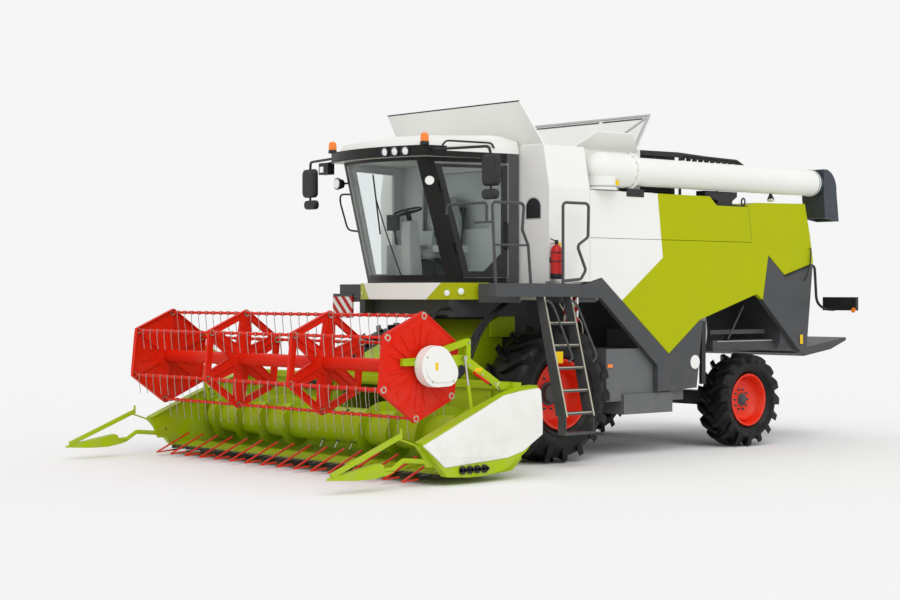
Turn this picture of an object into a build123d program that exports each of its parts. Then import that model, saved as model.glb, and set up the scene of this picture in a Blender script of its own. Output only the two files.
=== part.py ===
# A self-propelled combine harvester with its cutting header, as it parks.
# Millimetres. The front of the machine is at -Y, its left side at +X, and the ground is Z = 0.
# Places along the machine are given as distances behind the reel's axis, by back().
from build123d import *

import os
from math import cos, pi, radians, sin, tan

# Overall
machine_length = 9720
divider_reach = 1300              # from the reel's axis forward to the divider tips
reel_y = divider_reach - machine_length / 2
running_gap = 0.3                 # between a pin and its eye, or two faces that slide
seam = 5                          # the open joint between two body panels

# Wheels
front_axle_back = 2795
wheelbase = 3390
front_tyre_radius = 785
front_tyre_width = 600
front_rim_radius = 385
front_track = 2600
rear_tyre_radius = 590
rear_tyre_width = 440
rear_rim_radius = 310
rear_track = 2660
king_pin_x = 1040
hitch_height = 690
hitch_reach = 240                 # from the rear axle back to the towing pin
hitch_bore_radius = 16
lug_height = 48
wheel_facets = 24
hub_wall = 40                     # from a hub's rim to the hole for the axle's cap

# Header
cut_half_width = 2500             # to the outside of the side sheets
sheet_thickness = 30
drive_space = 65                  # between a side sheet and the shield outside it
shield_thickness = 29.7
knife_back = 190
knife_height = 100
header_auger_back = 800
header_auger_height = 455
auger_drum_radius = 200
auger_flight_radius = 300
reel_height = 1194
reel_radius = 520                 # to the tine bars
reel_bars = 6
reel_half_width = 2330
reel_phase = 5.84                 # degrees that the top bar leans back
tine_pitch = 152
tine_length = 215
arm_x = 2345                      # inner face of the reel arms
arm_thickness = 40
cylinder_foot = (640, 600)        # the lower pin of the reel's lift cylinders
cylinder_pin = 14
arm_pivot_back = 1050
arm_pivot_height = 970

# Feeder house
feeder_half_width = 690
feeder_pivot_back = 2600
feeder_pivot_height = 1550

# Body
housing_half_width = 700
housing_top = 1860
side_x = 1520                     # outside of the side panels
panel_thickness = 69.7
seam_height = 2585                # between upper panels and side doors
tank_front_back = 2620
tank_step_back = 3280
tank_rear_back = 4460
tank_top = 3640
tank_shelf = 3150
tank_rear_half_width = 1220
tank_front_top_half_width = 1425  # the front part's sides lean in above the shelf
hood_front_back = 6216            # where the seam to the hood crosses the side doors' top edge

# Cab
cab_floor_height = 2090
cab_top_height = 3480
cab_rear_back = 2600
cab_rear_half_width = 1040
pillar_foot = (800, 1840)         # x and distance back of a windscreen corner at the floor
pillar_head = (740, 1430)
screen_bow = 180

# Unloading tube
tube_pivot_x = 1450
tube_pivot_back = 3530
tube_height = 3390
tube_radius = 170
tube_end_back = 7520


def back(distance):
    """The y of a place that lies so far behind the reel's axis."""
    return reel_y + distance


def outline_points(corners):
    """Turns (distance back, height) corners into (y, z)."""
    return [(back(d), z) for d, z in corners]


def across(corners, x_from, x_to, mode=Mode.ADD):
    """A solid across the machine with an outline of (distance back, height) corners."""
    with BuildSketch(Plane.YZ.offset(x_from)) as face:
        with BuildLine():
            Polyline(*outline_points(corners), close=True)
        make_face()
    extrude(face.sketch, amount=x_to - x_from, mode=mode)


def both_sides(corners, x_from, x_to, mode=Mode.ADD):
    """The same solid on the left and on the right."""
    across(corners, x_from, x_to, mode)
    across(corners, -x_to, -x_from, mode)


def upright(corners, z_from, z_to, mode=Mode.ADD):
    """A vertical solid with a plan of (x, distance back) corners."""
    with BuildSketch(Plane.XY.offset(z_from)) as face:
        with BuildLine():
            Polyline(*[(x, back(d)) for x, d in corners], close=True)
        make_face()
    extrude(face.sketch, amount=z_to - z_from, mode=mode)


def facing(corners, back_from, back_to, mode=Mode.ADD):
    """A solid along the machine with an outline of (x, height) corners."""
    with BuildSketch(Plane.XZ.offset(-back(back_from))) as face:
        with BuildLine():
            Polyline(*corners, close=True)
        make_face()
    extrude(face.sketch, amount=back_from - back_to, mode=mode)


def block(x_span, back_span, z_span, mode=Mode.ADD):
    """A box between two values along each axis."""
    middle = [(a + b) / 2 for a, b in (x_span, back_span, z_span)]
    sizes = [abs(b - a) for a, b in (x_span, back_span, z_span)]
    with Locations((middle[0], back(middle[1]), middle[2])):
        Box(*sizes, mode=mode)


def mirrored_block(x_span, back_span, z_span, mode=Mode.ADD):
    """A box on each side."""
    block(x_span, back_span, z_span, mode)
    block((-x_span[0], -x_span[1]), back_span, z_span, mode)


def rod(start, end, radius, mode=Mode.ADD):
    """A round bar between two (x, distance back, height) points."""
    a = Vector(start[0], back(start[1]), start[2])
    b = Vector(end[0], back(end[1]), end[2])
    with BuildSketch(Plane(origin=a, z_dir=b - a)) as face:
        Circle(radius)
    extrude(face.sketch, amount=(b - a).length, mode=mode)


def bar(start, end, width, depth, mode=Mode.ADD):
    """A rectangular bar between two (x, distance back, height) points in one x plane."""
    a = Vector(start[0], back(start[1]), start[2])
    b = Vector(end[0], back(end[1]), end[2])
    with BuildSketch(Plane(origin=a, x_dir=(1, 0, 0), z_dir=b - a)) as face:
        Rectangle(width, depth)
    extrude(face.sketch, amount=(b - a).length, mode=mode)


def handrail(points, radius):
    """A bent rail through (x, distance back, height) points, with a round bend at each corner."""
    places = [Vector(x, back(d), z) for x, d, z in points]
    with BuildLine() as path:
        FilletPolyline(*places, radius=radius * 3)
    with BuildSketch(Plane(origin=path.line @ 0, z_dir=path.line % 0)) as face:
        RegularPolygon(radius, 8)
    sweep(face.sketch, path=path.line)


def closed_solid(faces):
    """A solid inside flat faces, each given by its corners."""
    return Solid(Shell([Face(Wire.make_polygon(corners, close=True)) for corners in faces]))


def ribbon(sections):
    """A bar in flat triangles through sections of four corners each."""
    faces = [sections[0], sections[-1]]
    for here, after in zip(sections, sections[1:]):
        for number in range(4):
            a, b = here[number], here[number - 1]
            c, d = after[number - 1], after[number]
            faces += [[a, b, c], [a, c, d]]
    return closed_solid(faces)


pieces = {}


def finish(name, builder):
    """Labels a piece and keeps it for the files."""
    builder.part.label = name
    pieces[name] = builder.part


# Main frame: the threshing housing, its feeder cheeks and the beams that carry the cab
housing_outline = [
    (2690, 1000), (2690, housing_top), (6900, housing_top), (6900, 1620),
    (6560, 1245), (5250, 1245), (5000, 640), (3200, 640), (3080, 1000),
]
cheek_x = (feeder_half_width + 12, feeder_half_width + 62)
pin_radius = 45
with BuildPart() as main_frame:
    across(housing_outline, -housing_half_width, housing_half_width)
    both_sides([(2440, 1430), (2440, 1610), (2760, 1760), (2800, 1760), (2800, 1430)], *cheek_x)
    mirrored_block((752, 852), (1760, tank_front_back - 1), (1670, housing_top + 8))
    mirrored_block((752, 852), (tank_front_back - 1, 2900), (1670, housing_top))
    mirrored_block((690, 752), (2700, 2900), (1430, 1850))
    rod((802, 1740, 1770), (802, 1770, 1770), 34)
    block((-752, 752), (1900, 1960), (1690, housing_top + 8))
    with Locations(Plane.YZ.offset(cheek_x[0])):
        with Locations((back(feeder_pivot_back), feeder_pivot_height)):
            Cylinder(pin_radius + running_gap, 800, mode=Mode.SUBTRACT)
    with Locations(Plane.YZ.offset(-cheek_x[0])):
        with Locations((back(feeder_pivot_back), feeder_pivot_height)):
            Cylinder(pin_radius + running_gap, 800, mode=Mode.SUBTRACT)
finish("main_frame", main_frame)

# Engine: one block on the housing, behind the grain tank
with BuildPart() as engine:
    block((-450, 450), (4700, 5750), (housing_top + running_gap, 2750))
finish("engine", engine)

# Grain tank: a hollow with a funnel below, wider in front of the step
tank_wall = 30
with BuildPart() as grain_tank:
    block((-1450, 1450), (tank_front_back, tank_rear_back), (housing_top + running_gap, tank_shelf))
    mirrored_block((1450, side_x), (tank_front_back, tank_step_back), (2075, tank_shelf))
    facing([(-side_x, tank_shelf), (side_x, tank_shelf), (tank_front_top_half_width, tank_top),
            (-tank_front_top_half_width, tank_top)], tank_step_back, tank_front_back)
    block((-tank_rear_half_width, tank_rear_half_width), (tank_step_back, tank_rear_back),
          (tank_shelf, tank_top))
    block((-tank_rear_half_width, tank_rear_half_width), (tank_rear_back - 20, tank_rear_back),
          (tank_top, tank_top + 42.4))
    inner_x = tank_rear_half_width - tank_wall
    inner_back = (tank_front_back + tank_wall, tank_rear_back - tank_wall)
    block((-inner_x, inner_x), inner_back, (3000, tank_top + 1), Mode.SUBTRACT)
    middle_y = back(sum(inner_back) / 2)
    with BuildSketch(Plane.XY.offset(3000)) as funnel_top:
        with Locations((0, middle_y)):
            Rectangle(2 * inner_x, inner_back[1] - inner_back[0])
    with BuildSketch(Plane.XY.offset(2000)) as funnel_foot:
        with Locations((0, middle_y)):
            Rectangle(900, 900)
    loft([funnel_top.sketch, funnel_foot.sketch], ruled=True, mode=Mode.SUBTRACT)
    with Locations((tube_pivot_x, back(tube_pivot_back), tank_shelf)):
        Cylinder(200, 20, align=(Align.CENTER, Align.CENTER, Align.MIN))
    # The air inlet in the front wall, beside the cab
    with BuildSketch(Plane.XZ.offset(-back(tank_front_back))) as inlet:
        with Locations((1275, 2860)):
            Rectangle(150, 130)
        with Locations((1275, 2925)):
            Circle(75)
    extrude(inlet.sketch, amount=-60, mode=Mode.SUBTRACT)
finish("grain_tank", grain_tank)


def lid(origin, across_dir, up_dir, base, top, height, thickness, tube_half):
    """A lid with four corners that stands on its hinge tube, from its spans at the base and top."""
    normal = Vector(*across_dir).cross(Vector(*up_dir))
    with BuildSketch(Plane(origin=origin, x_dir=across_dir, z_dir=normal)) as face:
        with BuildLine():
            Polyline((base[0], 0), (base[1], 0), (top[1], height), (top[0], height), close=True)
        make_face()
    extrude(face.sketch, amount=thickness / 2, both=True)
    start = Vector(*origin) - Vector(*across_dir) * tube_half
    with BuildSketch(Plane(origin=start, z_dir=across_dir)) as ring:
        Circle(12)
    extrude(ring.sketch, amount=2 * tube_half)


# Tank lids: they stand open as a funnel and fold inwards over the tank
lid_hinge = tank_top + 12.6
front_lean = radians(16)
rear_lean = radians(34)
side_lean = radians(38)
with BuildPart() as tank_lid_front:
    lid((0, back(tank_front_back + 10), lid_hinge), (1, 0, 0), (0, -sin(front_lean), cos(front_lean)),
        (-1060, 1420), (-1200, 1170), 515, 22, 1050)
finish("tank_lid_front", tank_lid_front)
with BuildPart() as tank_lid_rear:
    lid((0, back(tank_rear_back - 10), lid_hinge + 42.4), (1, 0, 0), (0, sin(rear_lean), cos(rear_lean)),
        (-1180, 1180), (-1150, 1150), 520, 22, 1150)
finish("tank_lid_rear", tank_lid_rear)
side_middle = (tank_step_back + tank_rear_back) / 2
for side, sign in (("left", 1), ("right", -1)):
    with BuildPart() as tank_lid_side:
        lid((sign * (tank_rear_half_width - 12), back(side_middle), lid_hinge), (0, 1, 0),
            (sign * sin(side_lean), 0, cos(side_lean)), (-560, 560), (-300, 300), 250, 20, 540)
    finish("tank_lid_" + side, tank_lid_side)

# Upper side panels; the seam between them and the hood leans back towards its foot
def hood_seam(z):
    """The distance back of the hood's front edge at one height above the side doors' top."""
    return hood_front_back - (z - seam_height) * 0.15


upper_outline = [
    (tank_step_back + seam, seam_height + 3), (tank_step_back + seam, 3140), (5400, 3140),
    (5540, 3030), (hood_seam(3030) - seam, 3030), (hood_front_back - seam, seam_height + 3),
]
panel_inner = side_x - panel_thickness
with BuildPart() as upper_panels:
    both_sides(upper_outline, panel_inner, side_x)
finish("upper_panels", upper_panels)

# Gull-wing side doors, hinged along the seam
door_outline = [
    (tank_step_back + seam, seam_height - 3), (hood_front_back - seam, seam_height - 3),
    (6325, 1935), (5220, 1610 + seam), (4650, 1205 + seam), (3480, 2120 + seam),
    (tank_step_back + seam, 2070 + seam),
]
for side, sign in (("left", 1), ("right", -1)):
    with BuildPart() as side_door:
        across(door_outline, sign * panel_inner, sign * side_x)
    finish("side_door_" + side, side_door)

# Dark skirts under the doors
skirt_outline = [
    (3050, 2010), (3290, 2068), (3480, 2118), (4650, 1203), (5220, 1608), (5270, 1600),
    (5160, 780), (4450, 760), (4450, 1070), (3470, 1880), (3050, 1890),
]
with BuildPart() as side_skirts:
    both_sides(skirt_outline, panel_inner, side_x)
finish("side_skirts", side_skirts)

# Boxes between the wheels: fuel tank on one side, stores and batteries on the other
with BuildPart() as side_boxes:
    for inner, outer, back_span, z_span in (
        (700.3, 1440, (3640, 4420), (660, 1280)),
        (700.3, 1440, (4420, 5000), (640, 1500)),
        (900, 1480, (3900, 4760), (500, 740)),
    ):
        mirrored_block((inner, outer), back_span, z_span)
finish("side_boxes", side_boxes)

# Engine deck with the cooler housing and its rails
deck_outline = [
    (tank_rear_back + 1, 3100), (tank_rear_back + 1, 3138), (5395, 3138), (5535, 3028),
    (hood_seam(3028) - running_gap, 3028), (hood_seam(2990) - running_gap, 2990), (5520, 2990), (5380, 3100),
]
cradle_top = tube_height - tube_radius - 5
with BuildPart() as engine_deck:
    across(deck_outline, -1450, 1450)
    block((-1000, 1000), (4500, 5340), (3138, 3690))
    for x in (-1050, 1050):
        handrail([(x, 5380, 3128), (x, 5380, 3680), (x, 6480, 3655), (x, 6650, 3580)], 18)
        rod((x, 6090, 3020), (x, 6090, 3662), 14)
    # The cradle under the unloading tube
    across([(5490, 3020), (5490, 3050), (5640, 3060), (5640, 3100), (5400, cradle_top - 60), (5400, cradle_top),
            (6010, cradle_top), (6010, cradle_top - 60), (5920, 3100), (5920, 3060), (6100, 3050), (6100, 3020)],
           1300, 1450)
finish("engine_deck", engine_deck)

# Rear hood: an open-bottomed shell
hood_outline = [
    (hood_seam(3050), 3050), (6300, 3090), (7310, 3110), (7420, 2700), (7490, 2340),
    (6890, 2180), (6560, 2430), (6450, 1860), (6330, 1930), (hood_front_back, seam_height),
]
hood_inner = [
    (hood_front_back + 50, 1800), (hood_front_back + 50, 3000), (6310, 3040), (7265, 3058),
    (7370, 2700), (7450, 2260), (7450, 1800),
]
with BuildPart() as rear_hood:
    across(hood_outline, -side_x + 10, side_x - 10)
    across(hood_inner, -side_x + 70, side_x - 70, Mode.SUBTRACT)
finish("rear_hood", rear_hood)

# Straw chopper with its pointed side plates, and the spreader tray behind it
star_outline = [
    (6563, 2415), (6890, 2168), (7485, 2330), (7350, 1180), (7230, 1170), (6455, 1850),
]
with BuildPart() as chopper:
    both_sides(star_outline, side_x - 90, side_x - 12)
    across([(6900 + running_gap, 1300), (6900 + running_gap, 2120), (7400, 2200), (7335, 1190), (7230, 1180)], -1430, 1430)
    across([(7330, 1150), (7330, 1200), (8420, 1345), (8420, 1305), (8080, 1190), (7500, 1110)],
           -1350, 1350)
finish("chopper", chopper)

# Cab: a shell between a floor plan and a roof plan, cut for the windows and the door


def cab_plan(height, corner, inset):
    """The cab's plan at one height, from its windscreen corner, drawn in by an inset."""
    x, d = corner[0] - inset, corner[1] + inset
    rear = cab_rear_back - inset
    wide = cab_rear_half_width - inset
    with BuildSketch(Plane.XY.offset(height)) as plan:
        with BuildLine():
            ThreePointArc((x, back(d)), (0, back(d - screen_bow)), (-x, back(d)))
            Polyline((-x, back(d)), (-wide, back(rear - 140)), (-wide, back(rear)), (wide, back(rear)),
                     (wide, back(rear - 140)), (x, back(d)))
        make_face()
    return plan.sketch


def cab_shell(inset, thickness, mode=Mode.ADD):
    """The hollow form between two insets, from floor to roof."""
    loft([cab_plan(cab_floor_height, pillar_foot, inset), cab_plan(cab_top_height, pillar_head, inset)],
         mode=mode)
    loft([cab_plan(cab_floor_height, pillar_foot, inset + thickness),
          cab_plan(cab_top_height, pillar_head, inset + thickness)], mode=Mode.SUBTRACT)


screen_outline = [(-690, 2150), (690, 2150), (640, 3440), (-640, 3440)]
door_cut = [(1925, 2115), (1545, 3430), (2440, 3430), (2440, 2115)]
door_panel = [(1935, 2120), (1560, 3407), (2435, 3407), (2435, 2120)]
door_window = [(1990, 2190), (1640, 3370), (2375, 3370), (2375, 2400), (2180, 2190)]
side_window = [(1950, 2170), (1600, 3390), (2400, 3390), (2400, 2170)]
rear_window = [(-600, 2700), (600, 2700), (600, 3380), (-600, 3380)]


# The door turns about a line that leans like the windscreen's pillar
hinge_line = ((850, 1870, 2300), (801, 1579, 3300))
hinge_heights = (2450, 3150)
hinge_pin = 8


def on_hinge(z):
    """The place on the door's hinge line at one height."""
    low, high = hinge_line
    share = (z - low[2]) / (high[2] - low[2])
    return tuple(a + (b - a) * share for a, b in zip(low, high))


with BuildPart() as cab_frame:
    cab_shell(0, 60)
    facing(screen_outline, 1100, 2000, Mode.SUBTRACT)
    across(door_cut, 600, 1200, Mode.SUBTRACT)
    across(side_window, -1200, -600, Mode.SUBTRACT)
    facing(rear_window, 2500, 2700, Mode.SUBTRACT)
    with BuildSketch(Plane.XY.offset(cab_floor_height)) as floor_plan:
        add(cab_plan(cab_floor_height, pillar_foot, 0))
    extrude(floor_plan.sketch, amount=-30)
    add(cab_plan(cab_top_height, (850, 1330), 0))
    extrude(cab_plan(cab_top_height, (850, 1330), 0), amount=120)
    for z in hinge_heights:
        rod(on_hinge(z - 62), on_hinge(z + 62), hinge_pin)
        for height in (z - 57, z + 57):
            x, d, foot = on_hinge(height)
            rod((x, d, foot), (x - 60, d - 30, foot), 10)
finish("cab_frame", cab_frame)

# Panes: the same shell, thinner, cut to the openings
with BuildPart() as pane_shell:
    cab_shell(20, 12)
with BuildPart() as pane_openings:
    facing(screen_outline, 1100, 2000, Mode.ADD)
    across(side_window, -1200, -640)
    facing(rear_window, 2500, 2700, Mode.ADD)
with BuildPart() as cab_glass:
    add(pane_shell.part & pane_openings.part)
finish("cab_glass", cab_glass)

with BuildPart() as door_shell:
    cab_shell(8, 40)
with BuildPart() as door_form:
    across(door_panel, 700, 1200)
    across(door_window, 700, 1200, Mode.SUBTRACT)
with BuildPart() as cab_door:
    add(door_shell.part & door_form.part)
    for z in hinge_heights:
        x, d, foot = on_hinge(z)
        rod((x, d, foot), (x - 30, d + 35, foot), 10)
        rod(on_hinge(z - 40), on_hinge(z + 40), 16)
        rod(on_hinge(z - 50), on_hinge(z + 50), hinge_pin + running_gap, Mode.SUBTRACT)
    handrail([(1005, 2405, 2450), (1060, 2405, 2450), (1060, 2405, 2750), (1005, 2405, 2750)], 12)
finish("cab_door", cab_door)

with BuildPart() as door_pane_form:
    across([(1991, 2191), (1642, 3369), (2374, 3369), (2374, 2400.5), (2180, 2191)], 700, 1200)
with BuildPart() as door_glass:
    add(pane_shell.part & door_pane_form.part)
finish("door_glass", door_glass)

roof_foot = cab_top_height + 120
with BuildPart() as cab_roof:
    loft([cab_plan(roof_foot, (800, 1390), 0), cab_plan(roof_foot + 90, (775, 1430), 15)])
    loft([cab_plan(roof_foot + 90, (775, 1430), 15), cab_plan(roof_foot + 155, (640, 1610), 170)])
finish("cab_roof", cab_roof)

with BuildPart() as cab_interior:
    block((-240, 240), (2080, 2300), (cab_floor_height, 2300))
    block((-270, 270), (1960, 2440), (2300, 2440))
    across([(2330, 2440), (2440, 2440), (2530, 3080), (2460, 3090)], -250, 250)
    block((290, 390), (1930, 2400), (2400, 2500))
    block((270, 290), (2100, 2200), (2350, 2450))
    across([(1800, cab_floor_height), (1960, cab_floor_height), (1860, 2700), (1760, 2680)], -75, 75)
    wheel_plane = Plane(origin=(0, back(1800), 2780), x_dir=(1, 0, 0), z_dir=(0, 0.42, 0.91))
    rod((0, 1820, 2650), (0, 1790, 2790), 30)
    with BuildSketch(wheel_plane) as rim:
        Circle(190)
        Circle(165, mode=Mode.SUBTRACT)
        Rectangle(350, 36)
    extrude(rim.sketch, amount=12, both=True)
finish("cab_interior", cab_interior)

# Valance under the windscreen
with BuildPart() as valance:
    with BuildSketch(Plane.XY.offset(housing_top + 9)) as valance_plan:
        with BuildLine():
            ThreePointArc((860, back(1780)), (0, back(1560)), (-860, back(1780)))
            Polyline((-860, back(1780)), (-1050, back(2120)), (1050, back(2120)), (860, back(1780)))
        make_face()
    extrude(valance_plan.sketch, amount=cab_floor_height - 30 - running_gap - housing_top - 9)
finish("valance", valance)

# Platform beside the cab, its railing and its stay to the right-hand side
deck_z = (1900, 2050)
rail_radius = 17
with BuildPart() as platform:
    block((1050.5, 1750), (1960, tank_front_back - running_gap), deck_z)
    block((side_x + 1, 1750), (tank_front_back - 1, 2870), deck_z)
    block((1640, 1750), (1580, 1960), deck_z)
    block((-1500, -1050.5), (1960, tank_front_back - running_gap), deck_z)
    handrail([(1730, 1600, deck_z[1] - 20), (1730, 1545, 2935), (1730, 2025, 2935), (1730, 2000, 2640),
              (1730, 2090, 2470), (1730, 2130, deck_z[1] - 20)], rail_radius)
    # The rail across the platform's front, between the outer post and the cab
    rod((1730, 1558, 2718), (1430, 1558, 2718), 12)
    handrail([(1627, 1558, 2718), (1627, 1558, 2930), (975, 1558, 2930), (962, 1558, 2820)], rail_radius - 3)
    rod((1730, 1573, 2470), (1730, 2090, 2470), 12)
    handrail([(1730, 2633, deck_z[1] - 20), (1730, 2633, 2965), (1730, 3045, 2965), (1730, 3035, 2580),
              (1730, 2860, 2480), (1730, 3000, 2205), (1730, 2920, 2100), (1730, 2640, 2080)], rail_radius)
    # The striped warning boards that hang from the platform
    block((-1610, -1230), (1940, 1960), (1640, 1935))
    block((1530, 1740), (2850, 2862), (1620, deck_z[0]))
finish("platform", platform)

# Ladder, leaning out over the front wheel, with a lower step on two rubber straps
ladder_front, ladder_rear = 2310, 2756
stringer_thickness = 22
ladder_head_z, ladder_foot_z = deck_z[0] - running_gap, 575
ladder_head_x, ladder_foot_x = (1625, 1750), (1945, 2110)
step_pitch = 249
with BuildPart() as ladder:
    for d in (ladder_front, ladder_rear - stringer_thickness):
        facing([(ladder_head_x[0], ladder_head_z), (ladder_head_x[1], ladder_head_z), (ladder_foot_x[1], ladder_foot_z),
                (ladder_foot_x[0], ladder_foot_z)], d + stringer_thickness, d)
    for step in range(5):
        z = 1617 - step * step_pitch
        share = (ladder_head_z - z) / (ladder_head_z - ladder_foot_z)
        inner, outer = [head + (foot - head) * share for head, foot in zip(ladder_head_x, ladder_foot_x)]
        block((inner, outer - 5), (ladder_front, ladder_rear), (z - 30, z))
    strap_x = (ladder_foot_x[0] + 30, ladder_foot_x[1] - 10)
    for d in (ladder_front, ladder_rear - 10):
        block(strap_x, (d, d + 10), (380, ladder_foot_z + 20))
    block(strap_x, (ladder_front, ladder_rear), (370, 400))
finish("ladder", ladder)

# Front axle with its final drives, and the brackets for the lift cylinders
front_y = back(front_axle_back)
lift_foot = (2590, 500)           # distance back and height of the lift cylinders' lower pins
lift_x = 560
lift_lug_inner = 52               # from a cylinder's middle to the face of its lug
lift_lug_thickness = 20
lift_lugs = [x + offset for x in (-lift_x, lift_x) for offset in (-lift_lug_inner - lift_lug_thickness, lift_lug_inner)]
drive_length = 330
front_hub_radius = 150
rear_hub_radius = 95
with BuildPart() as front_axle:
    with BuildSketch(Plane.YZ.offset(-830)) as tube:
        with Locations((front_y, front_tyre_radius)):
            RegularPolygon(130, 12)
    extrude(tube.sketch, amount=1660)
    for sign in (-1, 1):
        with BuildSketch(Plane.YZ.offset(sign * 830)) as drive:
            with Locations((front_y, front_tyre_radius)):
                RegularPolygon(230, 16)
        extrude(drive.sketch, amount=sign * drive_length)
        with BuildSketch(Plane.YZ.offset(sign * 830)) as cap:
            with Locations((front_y, front_tyre_radius)):
                Circle(front_hub_radius - hub_wall - 5)
        extrude(cap.sketch, amount=sign * (drive_length + 225))
    mirrored_block((380, 620), (2700, 2890), (800, 1000 - running_gap))
    for x in lift_lugs:
        across([(2560, 455), (2560, 560), (2700, 760), (2760, 700), (2640, 455)], x, x + lift_lug_thickness)
    for x in (-lift_x, lift_x):
        rod((x - 71, *lift_foot), (x + 71, *lift_foot), 25)
finish("front_axle", front_axle)

# Rear axle: a beam on a centre pivot bracket
rear_y = back(front_axle_back + wheelbase)
rear_back = front_axle_back + wheelbase
with BuildPart() as rear_axle:
    block((-950, 950), (rear_back - 85, rear_back + 85), (500, 680))
    across([(rear_back - 250, 1245 - running_gap), (rear_back + 300, 1245 - running_gap),
            (rear_back + 120, 620), (rear_back - 120, 620)], -130, 130)
    # The towing clevis behind the beam
    for z in (hitch_height - 50, hitch_height + 30):
        block((-60, 60), (rear_back + 80, rear_back + 300), (z, z + 20))
    with Locations((0, back(rear_back + hitch_reach), hitch_height)):
        Cylinder(hitch_bore_radius, 300, mode=Mode.SUBTRACT)
    for sign in (-1, 1):
        block((sign * 900, sign * 1090), (rear_back - 60, rear_back + 60), (715, 755))
        block((sign * 900, sign * 1090), (rear_back - 60, rear_back + 60), (425, 465))
        block((sign * 850, sign * 950), (rear_back - 85, rear_back + 85), (425, 755))
finish("rear_axle", rear_axle)

# Knuckles, which turn on their king pins between the axle's ears
stub_length = 130
for side, sign in (("left", 1), ("right", -1)):
    with BuildPart() as knuckle:
        with Locations((sign * king_pin_x, rear_y, 590)):
            Cylinder(45, 2 * (125 - running_gap))
        with BuildSketch(Plane.YZ.offset(sign * king_pin_x)) as stub:
            with Locations((rear_y, rear_tyre_radius)):
                Circle(60)
        extrude(stub.sketch, amount=sign * stub_length)
        with BuildSketch(Plane.YZ.offset(sign * king_pin_x)) as cap:
            with Locations((rear_y, rear_tyre_radius)):
                Circle(rear_hub_radius - hub_wall - 5)
        extrude(cap.sketch, amount=sign * (stub_length + 245))
    finish("knuckle_" + side, knuckle)


# Wheels: each rim is a dished disc in a barrel, each tyre carries two rows of slanted lugs
def facet_ring(profile, centre):
    """A ring about a line along X in flat facets, from (radius, distance outwards) corners."""
    x, d, z = centre
    sections = []
    for number in range(wheel_facets):
        angle = 2 * pi * number / wheel_facets
        sections.append([Vector(x + out, back(d) + cos(angle) * radius, z + sin(angle) * radius)
                         for radius, out in profile])
    faces = []
    for number in range(wheel_facets):
        here, before = sections[number], sections[number - 1]
        for corner in range(len(profile)):
            faces.append([here[corner], here[corner - 1], before[corner - 1], before[corner]])
    return closed_solid(faces)


def rim_profile(radius, half_width, dish, hub_radius, hub_from):
    """The rim's section: hub, dished disc, and a barrel with a lip at each side."""
    lip = radius + 25
    hole = hub_radius - hub_wall
    return [
        (hole, hub_from), (hole, dish + 60), (hub_radius, dish + 60), (hub_radius + 10, dish + 15),
        (radius - 70, dish + 15), (radius - 25, half_width - 90), (radius - 12, half_width),
        (lip, half_width), (lip, half_width - 18), (radius, half_width - 40),
        (radius, -half_width + 40), (lip, -half_width + 18), (lip, -half_width),
        (radius - 12, -half_width), (radius - 20, dish - 60), (radius - 80, dish),
        (hub_radius + 10, dish), (hub_radius + 10, hub_from),
    ]


def tyre_profile(radius, half_width, rim_radius, bead_half):
    """The carcass under the lugs."""
    base = radius - lug_height
    waist = (base + rim_radius) / 2 + 20
    seat = rim_radius + running_gap
    return [
        (seat, -bead_half), (rim_radius + 28, -bead_half), (rim_radius + 60, -half_width + 25),
        (waist, -half_width), (base - 60, -half_width + 24), (base, -half_width / 3),
        (base, half_width / 3), (base - 60, half_width - 24), (waist, half_width),
        (rim_radius + 60, half_width - 25), (rim_radius + 28, bead_half), (seat, bead_half),
    ]


# A lug from the tyre's middle to its shoulder: share of the half width, share of the reach,
# half its thickness, how far its top lies below the rolling radius, how deep its foot sits
lug_stations = [
    (-0.05, 0.00, 32, 0, 34),
    (0.99, 1.00, 25, 18, 80),
]


def lugs(centre, radius, half_width, count, reach):
    """Two rows of slanted bars, half a pitch apart."""
    x, d, z = centre
    bars = []
    for row in (-1, 1):
        for number in range(count):
            start = (number + (row + 1) / 4) * 2 * pi / count
            sections = []
            for across_share, reach_share, half_thickness, drop, depth in lug_stations:
                section = []
                for side, height in ((-1, -lug_height - depth), (1, -lug_height - depth), (1, -drop), (-1, -drop)):
                    angle = start - (reach * reach_share + side * half_thickness) / radius
                    section.append(Vector(x + row * half_width * across_share,
                                          back(d) + cos(angle) * (radius + height), z + sin(angle) * (radius + height)))
                sections.append(section)
            bars.append(ribbon(sections))
    return bars


# Each row: name, track, distance back, tyre radius, tyre width, rim radius, lugs in a row, lug reach, dish,
# hub radius, x of the face that the hub seats on
wheel_table = [
    ("front", front_track, front_axle_back, front_tyre_radius, front_tyre_width, front_rim_radius,
     17, 215, 0, front_hub_radius, 830 + drive_length),
    ("rear", rear_track, rear_back, rear_tyre_radius, rear_tyre_width, rear_rim_radius,
     16, 165, 20, rear_hub_radius, king_pin_x + stub_length),
]
for name, track, d, tyre_radius, tyre_width, rim_radius, lug_count, reach, dish, hub, hub_seat in wheel_table:
    centre = (track / 2, d, tyre_radius)
    half_rim = tyre_width / 2 - 45
    with BuildPart() as rim:
        add(facet_ring(rim_profile(rim_radius, half_rim, dish, hub, hub_seat + running_gap - track / 2), centre))
    with BuildPart() as tyre:
        add(facet_ring(tyre_profile(tyre_radius, tyre_width / 2, rim_radius, half_rim - 42), centre))
        add(lugs(centre, tyre_radius, tyre_width / 2, lug_count, reach))
    finish(name + "_rim_left", rim)
    finish(name + "_tyre_left", tyre)
    with BuildPart() as rim_right:
        add(mirror(rim.part, about=Plane.YZ, mode=Mode.PRIVATE))
    with BuildPart() as tyre_right:
        add(mirror(tyre.part, about=Plane.YZ, mode=Mode.PRIVATE))
    finish(name + "_rim_right", rim_right)
    finish(name + "_tyre_right", tyre_right)

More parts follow.
